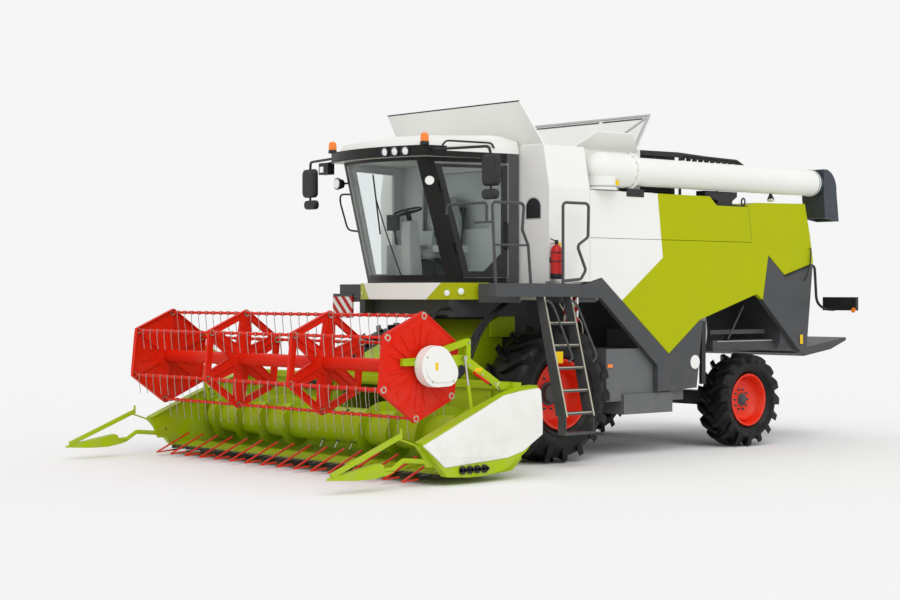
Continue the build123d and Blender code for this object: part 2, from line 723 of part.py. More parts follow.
# Mirrors on their arms, in front of the cab's corners
with BuildPart() as mirrors:
    for sign in (-1, 1):
        rod((sign * 871.9, 1420, cab_top_height + 70), (sign * 1640, 1610, cab_top_height + 70), 16)
        rod((sign * 1640, 1610, cab_top_height + 70), (sign * 1640, 1610, 3440), 14)
        block((sign * 1510, sign * 1780), (1570, 1650), (3110, 3470))
        block((sign * 1500, sign * 1750), (1580, 1650), (2965, 3085))
        rod((sign * 1640, 1615, 3085), (sign * 1640, 1615, 3111), 12)
finish("mirrors", mirrors)

# Lamps: beacons on the roof's corners, and the rear lamp boards on bent arms
with BuildPart() as lamps:
    for sign in (-1, 1):
        rod((sign * 840, 1340, roof_foot + 140), (sign * 840, 1340, roof_foot + 225), 38)
        rod((sign * 840, 1340, roof_foot + running_gap), (sign * 840, 1340, roof_foot + 140), 22)
        handrail([(sign * 1480, 7483.9, 2300), (sign * 1480, 7560, 2300), (sign * 1480, 7600, 1900),
                  (sign * 1640, 7700, 1850), (sign * 1700, 7700, 1850)], 18)
        block((sign * 1620, sign * 2080), (7714, 7760), (1790, 1960))
finish("lamps", lamps)

with BuildPart() as fire_extinguisher:
    with Locations((side_x + 80, back(2660), 2110)):
        Cylinder(68, 400, align=(Align.CENTER, Align.CENTER, Align.MIN))
    with Locations((side_x + 80, back(2660), 2510)):
        Cylinder(24, 60, align=(Align.CENTER, Align.CENTER, Align.MIN))
    block((side_x + 0.3, side_x + 20), (2620, 2700), (2300, 2340))
    block((side_x + 60, side_x + 160), (2650, 2670), (2560, 2600))
finish("fire_extinguisher", fire_extinguisher)

# Unloading tube: a round elbow over the collar on the tank, the long tube, and its spout
with BuildPart() as unloading_tube:
    with Locations((tube_pivot_x, back(tube_pivot_back), tank_shelf + 20 + running_gap)):
        Cylinder(190, tube_height - tank_shelf - 20, align=(Align.CENTER, Align.CENTER, Align.MIN))
    with Locations((tube_pivot_x, back(tube_pivot_back), tube_height)):
        Sphere(208)
    rod((tube_pivot_x, tube_pivot_back, tube_height), (tube_pivot_x, 3950, tube_height), 205)
    rod((tube_pivot_x, 3950, tube_height), (tube_pivot_x, 4000, tube_height), 222)
    rod((tube_pivot_x, 4000, tube_height), (tube_pivot_x, tube_end_back, tube_height), tube_radius)
finish("unloading_tube", unloading_tube)

spout_half_width = 178


def spout_form(wall, drop):
    """The side outline of the spout, drawn in by its wall; the mouth's edge lies lower by the drop."""
    with BuildSketch(Plane.YZ.offset(tube_pivot_x - spout_half_width + wall)) as outline:
        with BuildLine():
            Polyline((back(7620), 3568 - wall), (back(7560 + wall), 3568 - wall), (back(7560 + wall), 3215),
                     (back(7590 + wall), 2930 - drop), (back(7883 - wall), 2890 - drop), (back(7832 - wall), 3290))
            ThreePointArc((back(7832 - wall), 3290), (back(7775 - wall), 3475 - wall / 2), (back(7620), 3568 - wall))
        make_face()
    return outline.sketch


with BuildPart() as unloading_spout:
    rod((tube_pivot_x, tube_end_back + running_gap, tube_height), (tube_pivot_x, 7600, tube_height), spout_half_width)
    extrude(spout_form(0, 0), amount=2 * spout_half_width)
    extrude(spout_form(26, 20), amount=2 * (spout_half_width - 26), mode=Mode.SUBTRACT)
finish("unloading_spout", unloading_spout)

# Feeder house, with the pin it turns on and the lugs for the lift cylinders
feeder_outline = [
    (2640, 860), (2670, 1520), (2650, 1595), (2590, 1632), (1280, 1040), (1280, 240), (1420, 240),
]
lift_head = (1790, 345)
with BuildPart() as feeder_house:
    across(feeder_outline, -feeder_half_width, feeder_half_width)
    across([(1270, 290), (1270, 985), (2560, 1500), (2700, 1500), (2700, 930), (2600, 930)],
           -feeder_half_width + 35, feeder_half_width - 35, Mode.SUBTRACT)
    rod((-cheek_x[1], feeder_pivot_back, feeder_pivot_height), (cheek_x[1], feeder_pivot_back, feeder_pivot_height),
        pin_radius)
    for x in lift_lugs:
        across([(1720, 500), (1740, 310), (1840, 310), (1900, 540)], x, x + lift_lug_thickness)
finish("feeder_house", feeder_house)


def cylinder_barrel(x, foot, head, reach, radius, eye_radius, eye_width, bore, pin):
    """A barrel from its eye at the foot towards the head, with the rod's bore."""
    rod((x - eye_width / 2, *foot), (x + eye_width / 2, *foot), eye_radius)
    direction = Vector(0, head[0] - foot[0], head[1] - foot[1]).normalized()
    start = Vector(0, *foot) + direction * (eye_radius * 0.8)
    end = Vector(0, *foot) + direction * reach
    rod((x, start.Y, start.Z), (x, end.Y, end.Z), radius)
    inner = Vector(0, *foot) + direction * (eye_radius + 45)
    rod((x, inner.Y, inner.Z), (x, end.Y, end.Z), bore, Mode.SUBTRACT)
    rod((x - eye_width, *foot), (x + eye_width, *foot), pin + running_gap, Mode.SUBTRACT)


def cylinder_rod(x, foot, head, inside, radius, eye_radius, eye_width):
    """The rod from inside the barrel to its eye at the head."""
    direction = Vector(0, head[0] - foot[0], head[1] - foot[1]).normalized()
    start = Vector(0, *foot) + direction * inside
    end = Vector(0, *head) - direction * (eye_radius * 0.8)
    rod((x, start.Y, start.Z), (x, end.Y, end.Z), radius)
    rod((x - eye_width / 2, *head), (x + eye_width / 2, *head), eye_radius)


with BuildPart() as lift_barrels:
    for x in (-lift_x, lift_x):
        cylinder_barrel(x, lift_foot, lift_head, 690, 48, 44, 70, 31, 25)
finish("lift_barrels", lift_barrels)
with BuildPart() as lift_rods:
    for x in (-lift_x, lift_x):
        cylinder_rod(x, lift_foot, lift_head, 130, 30.7, 44, 70)
        rod((x - lift_lug_inner + running_gap, *lift_head), (x + lift_lug_inner - running_gap, *lift_head), 25)
finish("lift_rods", lift_rods)

# Header: trough, side sheets, top beam and the lugs for the reel arms
sheet_inner = cut_half_width - sheet_thickness
sheet_outer = cut_half_width + drive_space
trough_back = 1280 - running_gap
beam_foot = 900                   # the top beam rests on the trough's rear wall, over the feeder's inlet
trough_outline = [
    (200, 92), (205, 122), (420, 150), (620, 120), (860, 118), (1060, 180), (1170, 330), (1195, 560),
    (1195, beam_foot - running_gap), (trough_back, beam_foot - running_gap), (trough_back, 200), (1150, 92), (860, 70), (560, 74),
]
sheet_tip, sheet_toe = (-163, 442), (165, 92)
sheet_outline = [
    sheet_tip, (520, 720), (1000, 890), (1220, 952), (1425, 962), (1450, 480), (1260, 290), (1040, 160),
    (940, 114), (690, 75), (450, 72), sheet_toe,
]
with BuildPart() as header_frame:
    across(trough_outline, -sheet_inner, sheet_inner)
    both_sides(sheet_outline, sheet_inner, sheet_outer)
    across([(1100, 300), (1400, 300), (1400, beam_foot), (1100, beam_foot)], -580, 580, Mode.SUBTRACT)
    across([(1195, beam_foot), (1195, 930), (1165, 930), (1165, 1005), (trough_back, 1005), (trough_back, beam_foot)],
           -sheet_inner + running_gap, sheet_inner - running_gap)
    block((995, 1065), (1210, 1270), (1000, 1115))
    for x in (arm_x - 32, arm_x + arm_thickness + 7):
        both_sides([(1170, 940), (1040, 930), (1010, 970), (1040, 1010), (1170, 1004)], x, x + 25)
    for sign in (-1, 1):
        rod((sign * (arm_x - 32), arm_pivot_back, arm_pivot_height),
            (sign * (arm_x + arm_thickness + 32), arm_pivot_back, arm_pivot_height), 20)
        rod((sign * (sheet_inner - 70), *cylinder_foot), (sign * sheet_inner, *cylinder_foot), cylinder_pin)
finish("header_frame", header_frame)

# White shields over the drives outside the side sheets
shield_outline = [
    (-165, 424), (935, 887), (1160, 922), (1420, 945), (1448, 918), (1493, 458), (1211, 296), (987, 240), (130, 189),
]
with BuildPart() as header_shields:
    both_sides(shield_outline, sheet_outer + running_gap, sheet_outer + running_gap + shield_thickness)
finish("header_shields", header_shields)

# Knife bar with its pointed guards, and the crop lifters clipped to it
guard_pitch = 152
lifter_pitch = 304
with BuildPart() as knife_bar:
    block((-2450, 2450), (130, 200 - running_gap), (78, 104))
    guard_count = int(4800 / guard_pitch)
    for number in range(guard_count):
        x = (number - (guard_count - 1) / 2) * guard_pitch
        upright([(x - 26, 132), (x + 26, 132), (x + 6, 20), (x - 6, 20)], 82, 100)
    lifter_count = 16
    for number in range(lifter_count):
        x = (number - (lifter_count - 1) / 2) * lifter_pitch
        across([(135, 60), (135, 79), (-190, 52), (-190, 40)], x - 14, x + 14)
        across([(-190, 40), (-190, 54), (260, 264), (262, 250)], x - 13, x + 13)
finish("knife_bar", knife_bar)

# Crop dividers: a low pointed body, a long blade that rises from its tip, and a bent carrier at the side sheet
divider_body = [
    (-divider_reach, 150), (-divider_reach + 20, 172), (-1064, 210), (-661, 276), (-620, 258), (-605, 196), (-486, 184),
    (-586, 156), (-760, 131), (-992, 131),
]
divider_half_width = 48


def sheet_front(z):
    """The distance back of a side sheet's sloping front edge."""
    share = (sheet_tip[1] - z) / (sheet_tip[1] - sheet_toe[1])
    return sheet_tip[0] + (sheet_toe[0] - sheet_tip[0]) * share - 1.5 * running_gap


with BuildPart() as dividers:
    for sign in (-1, 1):
        x = sign * (cut_half_width - sheet_thickness / 2)
        with BuildPart() as body:
            across(divider_body, x - divider_half_width, x + divider_half_width)
            upright([(x - 5, -divider_reach), (x + 5, -divider_reach), (x + divider_half_width, -900),
                     (x + 34, -480), (x - 34, -480), (x - divider_half_width, -900)], 100, 400, Mode.INTERSECT)
        add(body.part)
        bar((x, -1240, 190), (x, -372, 532), 38, 46)
        handrail([(x, -640, 200), (x, -480, 205), (x, -350, 286), (x, -30, 255)], 26)
        across([(-190, 425), (sheet_front(425), 425), (sheet_front(200), 200), (-50, 200), (-110, 330)],
               sign * sheet_inner, sign * cut_half_width)
        rod((x, -150, 415), (x, -420, 507), 9)
        rod((x, -372, 525), (x, -372, 600), 12)
finish("dividers", dividers)

# Header auger: a drum with left- and right-hand flights towards its middle, and its fingers
flight_pitch = 480
flight_steps = 12
flight_turns = 4
flight_thickness = 8
flight_end = 2380                 # the outer end of each flight, inside the reel's lift cylinders
drum_half_length = 2390


def flight(sign):
    """A screw flight on one half of the drum, from its outer end inwards."""
    sections = []
    for step in range(flight_turns * flight_steps + 1):
        x = sign * (flight_end - step * flight_pitch / flight_steps)
        radial = Vector(0, cos(step * 2 * pi / flight_steps), sign * sin(step * 2 * pi / flight_steps))
        section = []
        for radius, side in ((auger_drum_radius - 12, -1), (auger_flight_radius, -1), (auger_flight_radius, 1),
                             (auger_drum_radius - 12, 1)):
            middle = Vector(x + side * flight_thickness / 2, back(header_auger_back), header_auger_height)
            section.append(middle + radial * radius)
        sections.append(section)
    return ribbon(sections)


with BuildPart() as header_auger:
    with BuildSketch(Plane.YZ.offset(-drum_half_length)) as drum:
        with Locations((back(header_auger_back), header_auger_height)):
            RegularPolygon(auger_drum_radius, 24)
    extrude(drum.sketch, amount=2 * drum_half_length)
    for sign in (-1, 1):
        add(flight(sign))
        rod((sign * drum_half_length, header_auger_back, header_auger_height),
            (sign * (sheet_inner - running_gap), header_auger_back, header_auger_height), 60)
    for number in range(9):
        x = (number - 4) * 90
        angle = number * 2 * pi / 3
        start = (x, header_auger_back + cos(angle) * 190, header_auger_height + sin(angle) * 190)
        end = (x, header_auger_back + cos(angle) * 295, header_auger_height + sin(angle) * 295)
        bar(start, end, 12, 12)
finish("header_auger", header_auger)

# Reel arms, hinged at the back of the header
arm_outline = [
    (1088, 1000), (1076, 935), (1030, 930), (560, 1205), (-265, 1215), (-265, 1285), (480, 1310), (590, 1300),
]
arm_brace = [
    (100, 1290), (176, 1372), (604, 1475), (645, 1462), (640, 1270), (585, 1300), (585, 1405), (215, 1310),
    (180, 1280),
]
reel_shaft_radius = 32
arm_joint = (525, 1275)           # the upper eye of the reel's lift cylinder
reel_cylinder_x = 2425
with BuildPart() as reel_arms:
    both_sides(arm_outline, arm_x, arm_x + arm_thickness)
    both_sides(arm_brace, arm_x, arm_x + arm_thickness)
    both_sides([(-75, 1150), (75, 1150), (75, 1230), (-75, 1230)], arm_x, arm_x + arm_thickness)
    for sign in (-1, 1):
        rod((sign * (arm_x - 5), arm_pivot_back, arm_pivot_height),
            (sign * (arm_x + arm_thickness + 5), arm_pivot_back, arm_pivot_height), 42)
        rod((sign * (arm_x - 40), arm_pivot_back, arm_pivot_height),
            (sign * (arm_x + arm_thickness + 40), arm_pivot_back, arm_pivot_height), 20 + running_gap, Mode.SUBTRACT)
        rod((sign * (arm_x - 5), 0, reel_height), (sign * (arm_x + arm_thickness + 5), 0, reel_height), 62)
        rod((sign * (arm_x - 40), 0, reel_height), (sign * (arm_x + arm_thickness + 40), 0, reel_height),
            reel_shaft_radius + running_gap, Mode.SUBTRACT)
    # The white cover over the reel's drive, on the left arm
    with BuildSketch(Plane.YZ.offset(arm_x + arm_thickness + 1)) as cover:
        with Locations((back(90), reel_height + 10)):
            Circle(205)
        with Locations((back(230), reel_height - 60)):
            Circle(130)
        make_hull()
    extrude(cover.sketch, amount=120)
finish("reel_arms", reel_arms)

# Reel: a shaft tube, two closed end plates, two open spiders, and bars at six corners
bar_angles = [radians(90 - reel_phase + number * 360 / reel_bars) for number in range(reel_bars)]
spider_x = 780
plate_radius = reel_radius + 45


def reel_corner(angle, radius):
    """(distance back, height) of a place on the reel."""
    return cos(angle) * radius, reel_height + sin(angle) * radius


with BuildPart() as reel:
    rod((-arm_x - arm_thickness, 0, reel_height), (arm_x + arm_thickness, 0, reel_height), reel_shaft_radius)
    rod((-reel_half_width, 0, reel_height), (reel_half_width, 0, reel_height), 72)
    for x in (-reel_half_width - 6, -spider_x - 6, spider_x - 6, reel_half_width - 6):
        across([reel_corner(angle, plate_radius) for angle in bar_angles], x, x + 12)
    for x in (-spider_x, spider_x):
        for angle in bar_angles:
            window = []
            for place, radius in ((angle + 0.16, 440), (angle + pi / 3 - 0.16, 440), (angle + pi / 6, 190)):
                window.append(reel_corner(place, radius))
            across(window, x - 20, x + 20, Mode.SUBTRACT)
    for angle in bar_angles:
        d, z = reel_corner(angle, reel_radius)
        for x in (-reel_half_width, -spider_x, spider_x, reel_half_width):
            rod((x - 20, d, z), (x + 20, d, z), 21, Mode.SUBTRACT)
finish("reel", reel)

tine_count = 30
for number, angle in enumerate(bar_angles):
    d, z = reel_corner(angle, reel_radius)
    with BuildPart() as tine_bar:
        block((-reel_half_width + 12, reel_half_width - 12), (d - 12, d + 12), (z - 12, z + 12))
        for sign in (-1, 1):
            rod((sign * (reel_half_width - 14), d, z), (sign * (reel_half_width + 12), d, z), 21 - running_gap)
        middle = z - (tine_length + 11) / 2
        with Locations(*[((tine - (tine_count - 1) / 2) * tine_pitch, back(d), middle) for tine in range(tine_count)]):
            Box(10, 10, tine_length - 11)
    finish("tine_bar_" + str(number + 1), tine_bar)

with BuildPart() as reel_barrels:
    for sign in (-1, 1):
        cylinder_barrel(sign * reel_cylinder_x, cylinder_foot, arm_joint, 400, 20, 24, 36, 12, cylinder_pin)
finish("reel_barrels", reel_barrels)
with BuildPart() as reel_rods:
    for sign in (-1, 1):
        cylinder_rod(sign * reel_cylinder_x, cylinder_foot, arm_joint, 105, 11.7, 24, 30)
        rod((sign * (arm_x + arm_thickness + running_gap), *arm_joint), (sign * (reel_cylinder_x + 20), *arm_joint),
            cylinder_pin)
finish("reel_rods", reel_rods)

# The sleeved bundle of hoses from the machine down to the header's coupling
hose_radius = 22
hose_route = [
    (802, 1740, 1770), (802, 1640, 1770), (828, 1540, 1745), (868, 1450, 1690), (912, 1370, 1605),
    (955, 1308, 1495), (990, 1262, 1365), (1030, 1240, 1220), (1030, 1240, 1115),
]


def bend_radii(route):
    """The largest arc that the two runs at each bend allow."""
    places = [Vector(*point) for point in route]
    radii = []
    for before, here, after in zip(places, places[1:], places[2:]):
        half_turn = radians((here - before).get_angle(after - here)) / 2
        shorter = min((here - before).length, (after - here).length)
        radii.append(0.45 * shorter / tan(half_turn))
    return radii


print("hose radii", [round(radius) for radius in bend_radii(hose_route)])
with BuildPart() as hoses:
    with BuildLine() as hose_line:
        FilletPolyline(*[Vector(x, back(d), z) for x, d, z in hose_route], radius=bend_radii(hose_route))
    with BuildSketch(Plane(origin=hose_line.line @ 0, z_dir=hose_line.line % 0)) as hose_section:
        RegularPolygon(hose_radius, 12)
    sweep(hose_section.sketch, path=hose_line.line)
finish("hoses", hoses)

os.makedirs("parts", exist_ok=True)
for name, piece in pieces.items():
    export_step(piece, "parts/" + name + ".step")
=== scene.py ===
from math import acos, atan2, cos, pi, radians, sin

import bmesh
import bpy
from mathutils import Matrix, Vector


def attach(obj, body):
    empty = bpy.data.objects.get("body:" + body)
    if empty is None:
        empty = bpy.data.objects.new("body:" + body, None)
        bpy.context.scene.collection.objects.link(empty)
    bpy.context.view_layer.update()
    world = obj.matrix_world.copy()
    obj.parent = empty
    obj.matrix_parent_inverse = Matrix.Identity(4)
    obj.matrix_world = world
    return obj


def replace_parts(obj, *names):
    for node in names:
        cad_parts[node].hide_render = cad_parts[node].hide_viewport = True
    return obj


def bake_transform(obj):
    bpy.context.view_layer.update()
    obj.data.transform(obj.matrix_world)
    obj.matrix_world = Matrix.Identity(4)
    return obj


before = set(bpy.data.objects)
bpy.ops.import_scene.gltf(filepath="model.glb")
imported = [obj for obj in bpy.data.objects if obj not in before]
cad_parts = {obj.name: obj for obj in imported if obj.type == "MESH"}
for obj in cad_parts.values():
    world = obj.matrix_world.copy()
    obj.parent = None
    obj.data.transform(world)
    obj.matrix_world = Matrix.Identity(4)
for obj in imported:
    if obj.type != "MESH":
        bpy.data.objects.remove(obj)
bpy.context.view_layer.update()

# Metres. Places are (x, distance back, height): x towards the machine's left side, the distance
# counted backwards from the reel's axis, which lies reel_y in front of the frame's origin.
reel_y = -3.56

# The camera, as the photograph shows the machine
camera_place = (16.1413, -15.2997, 1.9342)
camera_turn = 48.6673            # degrees from straight behind the header towards the machine's side
camera_drop = 0.1997             # degrees below the horizon
camera_lens = 72.04              # mm on a sensor 36 mm wide

upwards = (0, 0, 1)
backwards = (0, 1, 0)
core_radius = 0.0003             # what a turned form leaves open on its axis


def place(x, back, z):
    """The frame's coordinates of a place on the machine."""
    return Vector((x, back + reel_y, z))


# Colours, with values from 0 to 255
lime = (177, 184, 0)
header_green = (168, 194, 8)
white = (240, 240, 236)
black = (24, 25, 27)
orange_red = (222, 32, 8)


def linear(colour, share=1.0):
    """A share of a colour, as linear values."""
    values = []
    for value in colour:
        part = value / 255
        values.append(share * (part / 12.92 if part < 0.04045 else ((part + 0.055) / 1.055) ** 2.4))
    return (*values, 1)


class Nodes:
    """The node tree of a material or a world, with short ways to add nodes."""

    def __init__(self, owner):
        owner.use_nodes = True
        self.owner = owner
        self.tree = owner.node_tree
        self.shader = self.tree.nodes.get("Principled BSDF")

    def add(self, kind, inputs, output=0, **settings):
        """A new node's output, with each input linked to an output or set to a constant."""
        node = self.tree.nodes.new("ShaderNode" + kind)
        for key, value in settings.items():
            setattr(node, key, value)
        for key, value in inputs.items():
            if isinstance(value, bpy.types.NodeSocket):
                self.tree.links.new(value, node.inputs[key])
            else:
                node.inputs[key].default_value = value
        return node.outputs[output] if len(node.outputs) else node

    def connect(self, output, socket):
        self.tree.links.new(output, self.shader.inputs[socket])

    def constants(self, values):
        for socket, value in values.items():
            self.shader.inputs[socket].default_value = value

    def position(self):
        """The place on the object, in metres, which stays with the piece when it moves."""
        return self.add("TexCoord", {}, "Object")

    def along(self, axis):
        return self.add("SeparateXYZ", {0: self.position()}, axis)

    def math(self, operation, first, second=0.0):
        return self.add("Math", {0: first, 1: second}, operation=operation)

    def noise(self, scale, detail=3.0, stretch=(1, 1, 1)):
        """Soft noise from 0 to 1."""
        mapping = self.add("Mapping", {"Vector": self.position(), "Scale": stretch})
        return self.add("TexNoise", {"Vector": mapping, "Scale": scale, "Detail": detail}, "Fac")

    def ramp(self, value, low, high, low_value=0.0, high_value=1.0):
        """A value mapped from one range to another, clamped."""
        return self.add("MapRange", {"Value": value, "From Min": low, "From Max": high,
                                     "To Min": low_value, "To Max": high_value})

    def blend(self, share, first, second):
        """Two colours mixed by a share."""
        return self.add("Mix", {0: share, 6: first, 7: second}, 2, data_type="RGBA")

    def between(self, value, low, high):
        """1 where a value lies in a span, 0 elsewhere."""
        above, below = self.math("GREATER_THAN", value, low), self.math("LESS_THAN", value, high)
        return self.math("MULTIPLY", above, below)

    def beyond(self, first, second):
        """1 on one side of the line through two (distance back, height) places, 0 on the other."""
        a = self.math("SUBTRACT", self.along("Y"), first[0] + reel_y)
        b = self.math("SUBTRACT", self.along("Z"), first[1])
        side = self.math("SUBTRACT", self.math("MULTIPLY", a, second[1] - first[1]),
                         self.math("MULTIPLY", b, second[0] - first[0]))
        return self.math("GREATER_THAN", side, 0.0)

    def tint(self, colour, amount):
        """A colour that drifts a little over the surface."""
        drift = self.ramp(self.noise(1.7), 0.35, 0.65)
        self.connect(self.blend(drift, linear(colour), linear(colour, 1 - amount)), "Base Color")

    def roughen(self, pattern, low, high):
        self.connect(self.ramp(pattern, 0.3, 0.7, low, high), "Roughness")

    def bump(self, height, strength, distance):
        inputs = {"Height": height, "Strength": strength, "Distance": distance}
        self.connect(self.add("Bump", inputs), "Normal")


def material(name):
    return Nodes(bpy.data.materials.new(name))


def paint(name, colour, roughness=0.4, coat=0.05, specular=0.16, masks=()):
    """Enamel on sheet metal: slight drift of colour, faint orange peel, a thin clear coat.

    A mask gives a part of the node a second colour: (share made from the nodes, colour).
    Pale dust gathers low on the machine, in patches.
    """
    nodes = material(name)
    base = linear(colour)
    for share, second in masks:
        base = nodes.blend(share(nodes), base, linear(second))
    base = nodes.blend(nodes.ramp(nodes.noise(1.7), 0.35, 0.65, 0.0, 0.04), base, linear((120, 110, 60)))
    low = nodes.ramp(nodes.along("Z"), 0.2, 1.3, 0.16, 0.0)
    patches = nodes.ramp(nodes.noise(6.0, 5.0), 0.4, 0.7)
    dust = nodes.math("MULTIPLY", low, patches)
    nodes.connect(nodes.blend(dust, base, linear((168, 160, 146))), "Base Color")
    nodes.roughen(nodes.noise(9.0), roughness - 0.05, roughness + 0.08)
    nodes.constants({"Specular IOR Level": specular, "Coat Weight": coat, "Coat Roughness": 0.18})
    nodes.bump(nodes.noise(160.0, 2.0), 0.05, 0.002)
    return nodes.owner


def plastic(name, colour, roughness=0.55):
    """Moulded plastic with a fine grain."""
    nodes = material(name)
    nodes.tint(colour, 0.12)
    nodes.roughen(nodes.noise(12.0), roughness - 0.06, roughness + 0.08)
    nodes.bump(nodes.noise(420.0, 3.0), 0.12, 0.001)
    return nodes.owner


def metal(name, colour, roughness=0.35):
    """Bare metal, brushed along x."""
    nodes = material(name)
    nodes.tint(colour, 0.2)
    nodes.constants({"Metallic": 1.0})
    streaks = nodes.noise(30.0, 4.0, (0.1, 4, 4))
    nodes.roughen(streaks, roughness - 0.08, roughness + 0.12)
    nodes.bump(streaks, 0.05, 0.001)
    return nodes.owner


def rubber(name, colour, roughness, specular=0.3):
    """Rubber with a dull bloom in patches."""
    nodes = material(name)
    bloom = nodes.ramp(nodes.noise(7.0, 5.0), 0.45, 0.8, 0.0, 0.3)
    nodes.connect(nodes.blend(bloom, linear(colour), linear((60, 58, 55))), "Base Color")
    nodes.roughen(nodes.noise(20.0), roughness - 0.1, roughness + 0.1)
    nodes.constants({"Specular IOR Level": specular})
    nodes.bump(nodes.noise(90.0, 4.0), 0.2, 0.002)
    return nodes.owner


def glass(name, colour):
    """Tinted glazing that lets the cab show through."""
    nodes = material(name)
    nodes.tint(colour, 0.03)
    nodes.constants({"Roughness": 0.02, "IOR": 1.12, "Transmission Weight": 1.0})
    return nodes.owner


def lens(name, colour, strength):
    """A moulded lens, ribbed, that glows a little."""
    nodes = material(name)
    nodes.tint(colour, 0.15)
    nodes.constants({"Roughness": 0.12, "Emission Color": linear(colour), "Emission Strength": strength,
                     "Coat Weight": 0.6})
    nodes.bump(nodes.noise(140.0, 1.0, (1, 0.2, 4)), 0.3, 0.002)
    return nodes.owner


def fabric(name, colour):
    """Woven seat cloth with a soft sheen."""
    nodes = material(name)
    nodes.tint(colour, 0.15)
    nodes.constants({"Roughness": 0.85, "Sheen Weight": 0.3})
    weave = nodes.math("ADD", nodes.noise(260.0, 1.0, (6, 1, 1)), nodes.noise(260.0, 1.0, (1, 1, 6)))
    nodes.bump(weave, 0.3, 0.001)
    return nodes.owner


# Masks: each gives 1 on one part of a node and 0 elsewhere
def inside(x=None, back=None, z=None):
    """A mask for a box given by spans of |x|, distance back and height."""
    def share(nodes):
        inner = 1.0
        for span, axis, shift in ((x, "X", 0), (back, "Y", reel_y), (z, "Z", 0)):
            if span:
                value = nodes.along(axis)
                if axis == "X":
                    value = nodes.math("ABSOLUTE", value)
                inner = nodes.math("MULTIPLY", inner, nodes.between(value, span[0] + shift, span[1] + shift))
        return inner
    return share


def cover_side(nodes):
    """The cover on the reel's left arm."""
    return nodes.between(nodes.along("X"), 2.3855, 2.6)


def behind_white(nodes):
    """The lime part of the side panels, behind and below two lines."""
    corner = (4.54, 2.37)
    return nodes.math("MAXIMUM", nodes.beyond(corner, (4.44, 3.18)), nodes.beyond((3.83, 1.86), corner))


def facing_inwards(nodes):
    """The cab's inner faces, which are trimmed in a pale colour."""
    middle = tuple(place(0, 2.0, 2.75))
    towards = nodes.add("VectorMath", {0: middle, 1: nodes.position()}, operation="SUBTRACT")
    normal = nodes.add("TexCoord", {}, "Normal")
    lean = nodes.add("VectorMath", {0: towards, 1: normal}, "Value", operation="DOT_PRODUCT")
    return nodes.math("GREATER_THAN", lean, 0.3)


def stripes(nodes):
    """Broad slanted stripes across a board."""
    along = nodes.math("SUBTRACT", nodes.math("ABSOLUTE", nodes.along("X")), nodes.along("Z"))
    return nodes.math("GREATER_THAN", nodes.math("FRACT", nodes.math("DIVIDE", along, 0.15)), 0.5)


def valance_centre(nodes):
    """The valance's middle, whose ends lean outwards."""
    lean = nodes.math("MULTIPLY", nodes.math("SUBTRACT", nodes.along("Z"), 1.87), 0.95)
    across = nodes.math("SUBTRACT", nodes.math("ABSOLUTE", nodes.along("X")), lean)
    return nodes.math("LESS_THAN", across, 0.52)


# Paints: key, kind of surface, colour, then what else the kind takes
paints = {}
for key, kind, colour, *rest in (
    ("lime", paint, lime, 0.42, 0.02, 0.08),
    ("header_green", paint, header_green),
    ("white", paint, white),
    ("dark_grey", paint, (76, 78, 81), 0.5, 0.05),
    ("box_grey", paint, (104, 107, 109), 0.5, 0.05),
    ("pale_grey", paint, (186, 189, 190), 0.45, 0.1),
    ("red", paint, orange_red, 0.42, 0.03, 0.12),
    ("rim_red", paint, (234, 44, 14), 0.34, 0.1, 0.2),
    ("spout", plastic, (50, 58, 68), 0.45),
    ("black", plastic, black, 0.5),
    ("black_paint", paint, black, 0.4, 0.2),
    ("grey_plastic", plastic, (120, 123, 126)),
    ("tyre", rubber, (17, 17, 18), 0.42, 0.22),
    ("rubber", rubber, (26, 26, 28), 0.55),
    ("glass", glass, (246, 250, 250)),
    ("steel", metal, (150, 150, 148)),
    ("bright", metal, (215, 216, 218), 0.18),
    ("zinc", metal, (205, 200, 180), 0.4),
    ("wire", metal, (190, 178, 170), 0.3),
    ("yellow", paint, (240, 200, 20)),
    ("mirror", metal, (210, 215, 218), 0.08),
    ("lamp", lens, (236, 240, 242), 0.14),
    ("amber", lens, (255, 130, 10), 0.1),
    ("red_lens", lens, (200, 30, 20), 0.06),
    ("side_panels", paint, white, 0.42, 0.02, 0.08, [(behind_white, lime)]),
    ("carrier", paint, header_green, 0.4, 0.05, 0.16, [(cover_side, white)]),
    ("frame", paint, (62, 64, 66), 0.5, 0.05, 0.16, [
        (inside(x=(0.701, 0.753), back=(2.3, 2.81), z=(1.4, 1.766)), header_green)]),
    ("knife", paint, black, 0.45, 0.05, 0.16, [
        (inside(back=(-1.0, 0.018)), orange_red), (inside(z=(0.105, 1.0)), orange_red)]),
    ("cab_shell", paint, black, 0.4, 0.05, 0.16, [
        (inside(back=(2.42, 3.0)), (80, 80, 82)),
        (inside(back=(1.62, 3.0), z=(3.545, 4.0)), white),
        (facing_inwards, (208, 213, 211))]),
    ("stripes", paint, (235, 235, 232), 0.4, 0.05, 0.16, [(stripes, (190, 20, 24))]),
    ("extinguisher_red", paint, (196, 18, 24), 0.25, 0.4),
    ("trim_grey", plastic, (186, 191, 187)),
    ("fabric", fabric, (148, 156, 150)),
    ("valance", paint, lime, 0.4, 0.05, 0.16, [(valance_centre, white)]),
    ("deck", paint, (52, 54, 57), 0.5),
):
    paints[key] = kind(key, colour, *rest)

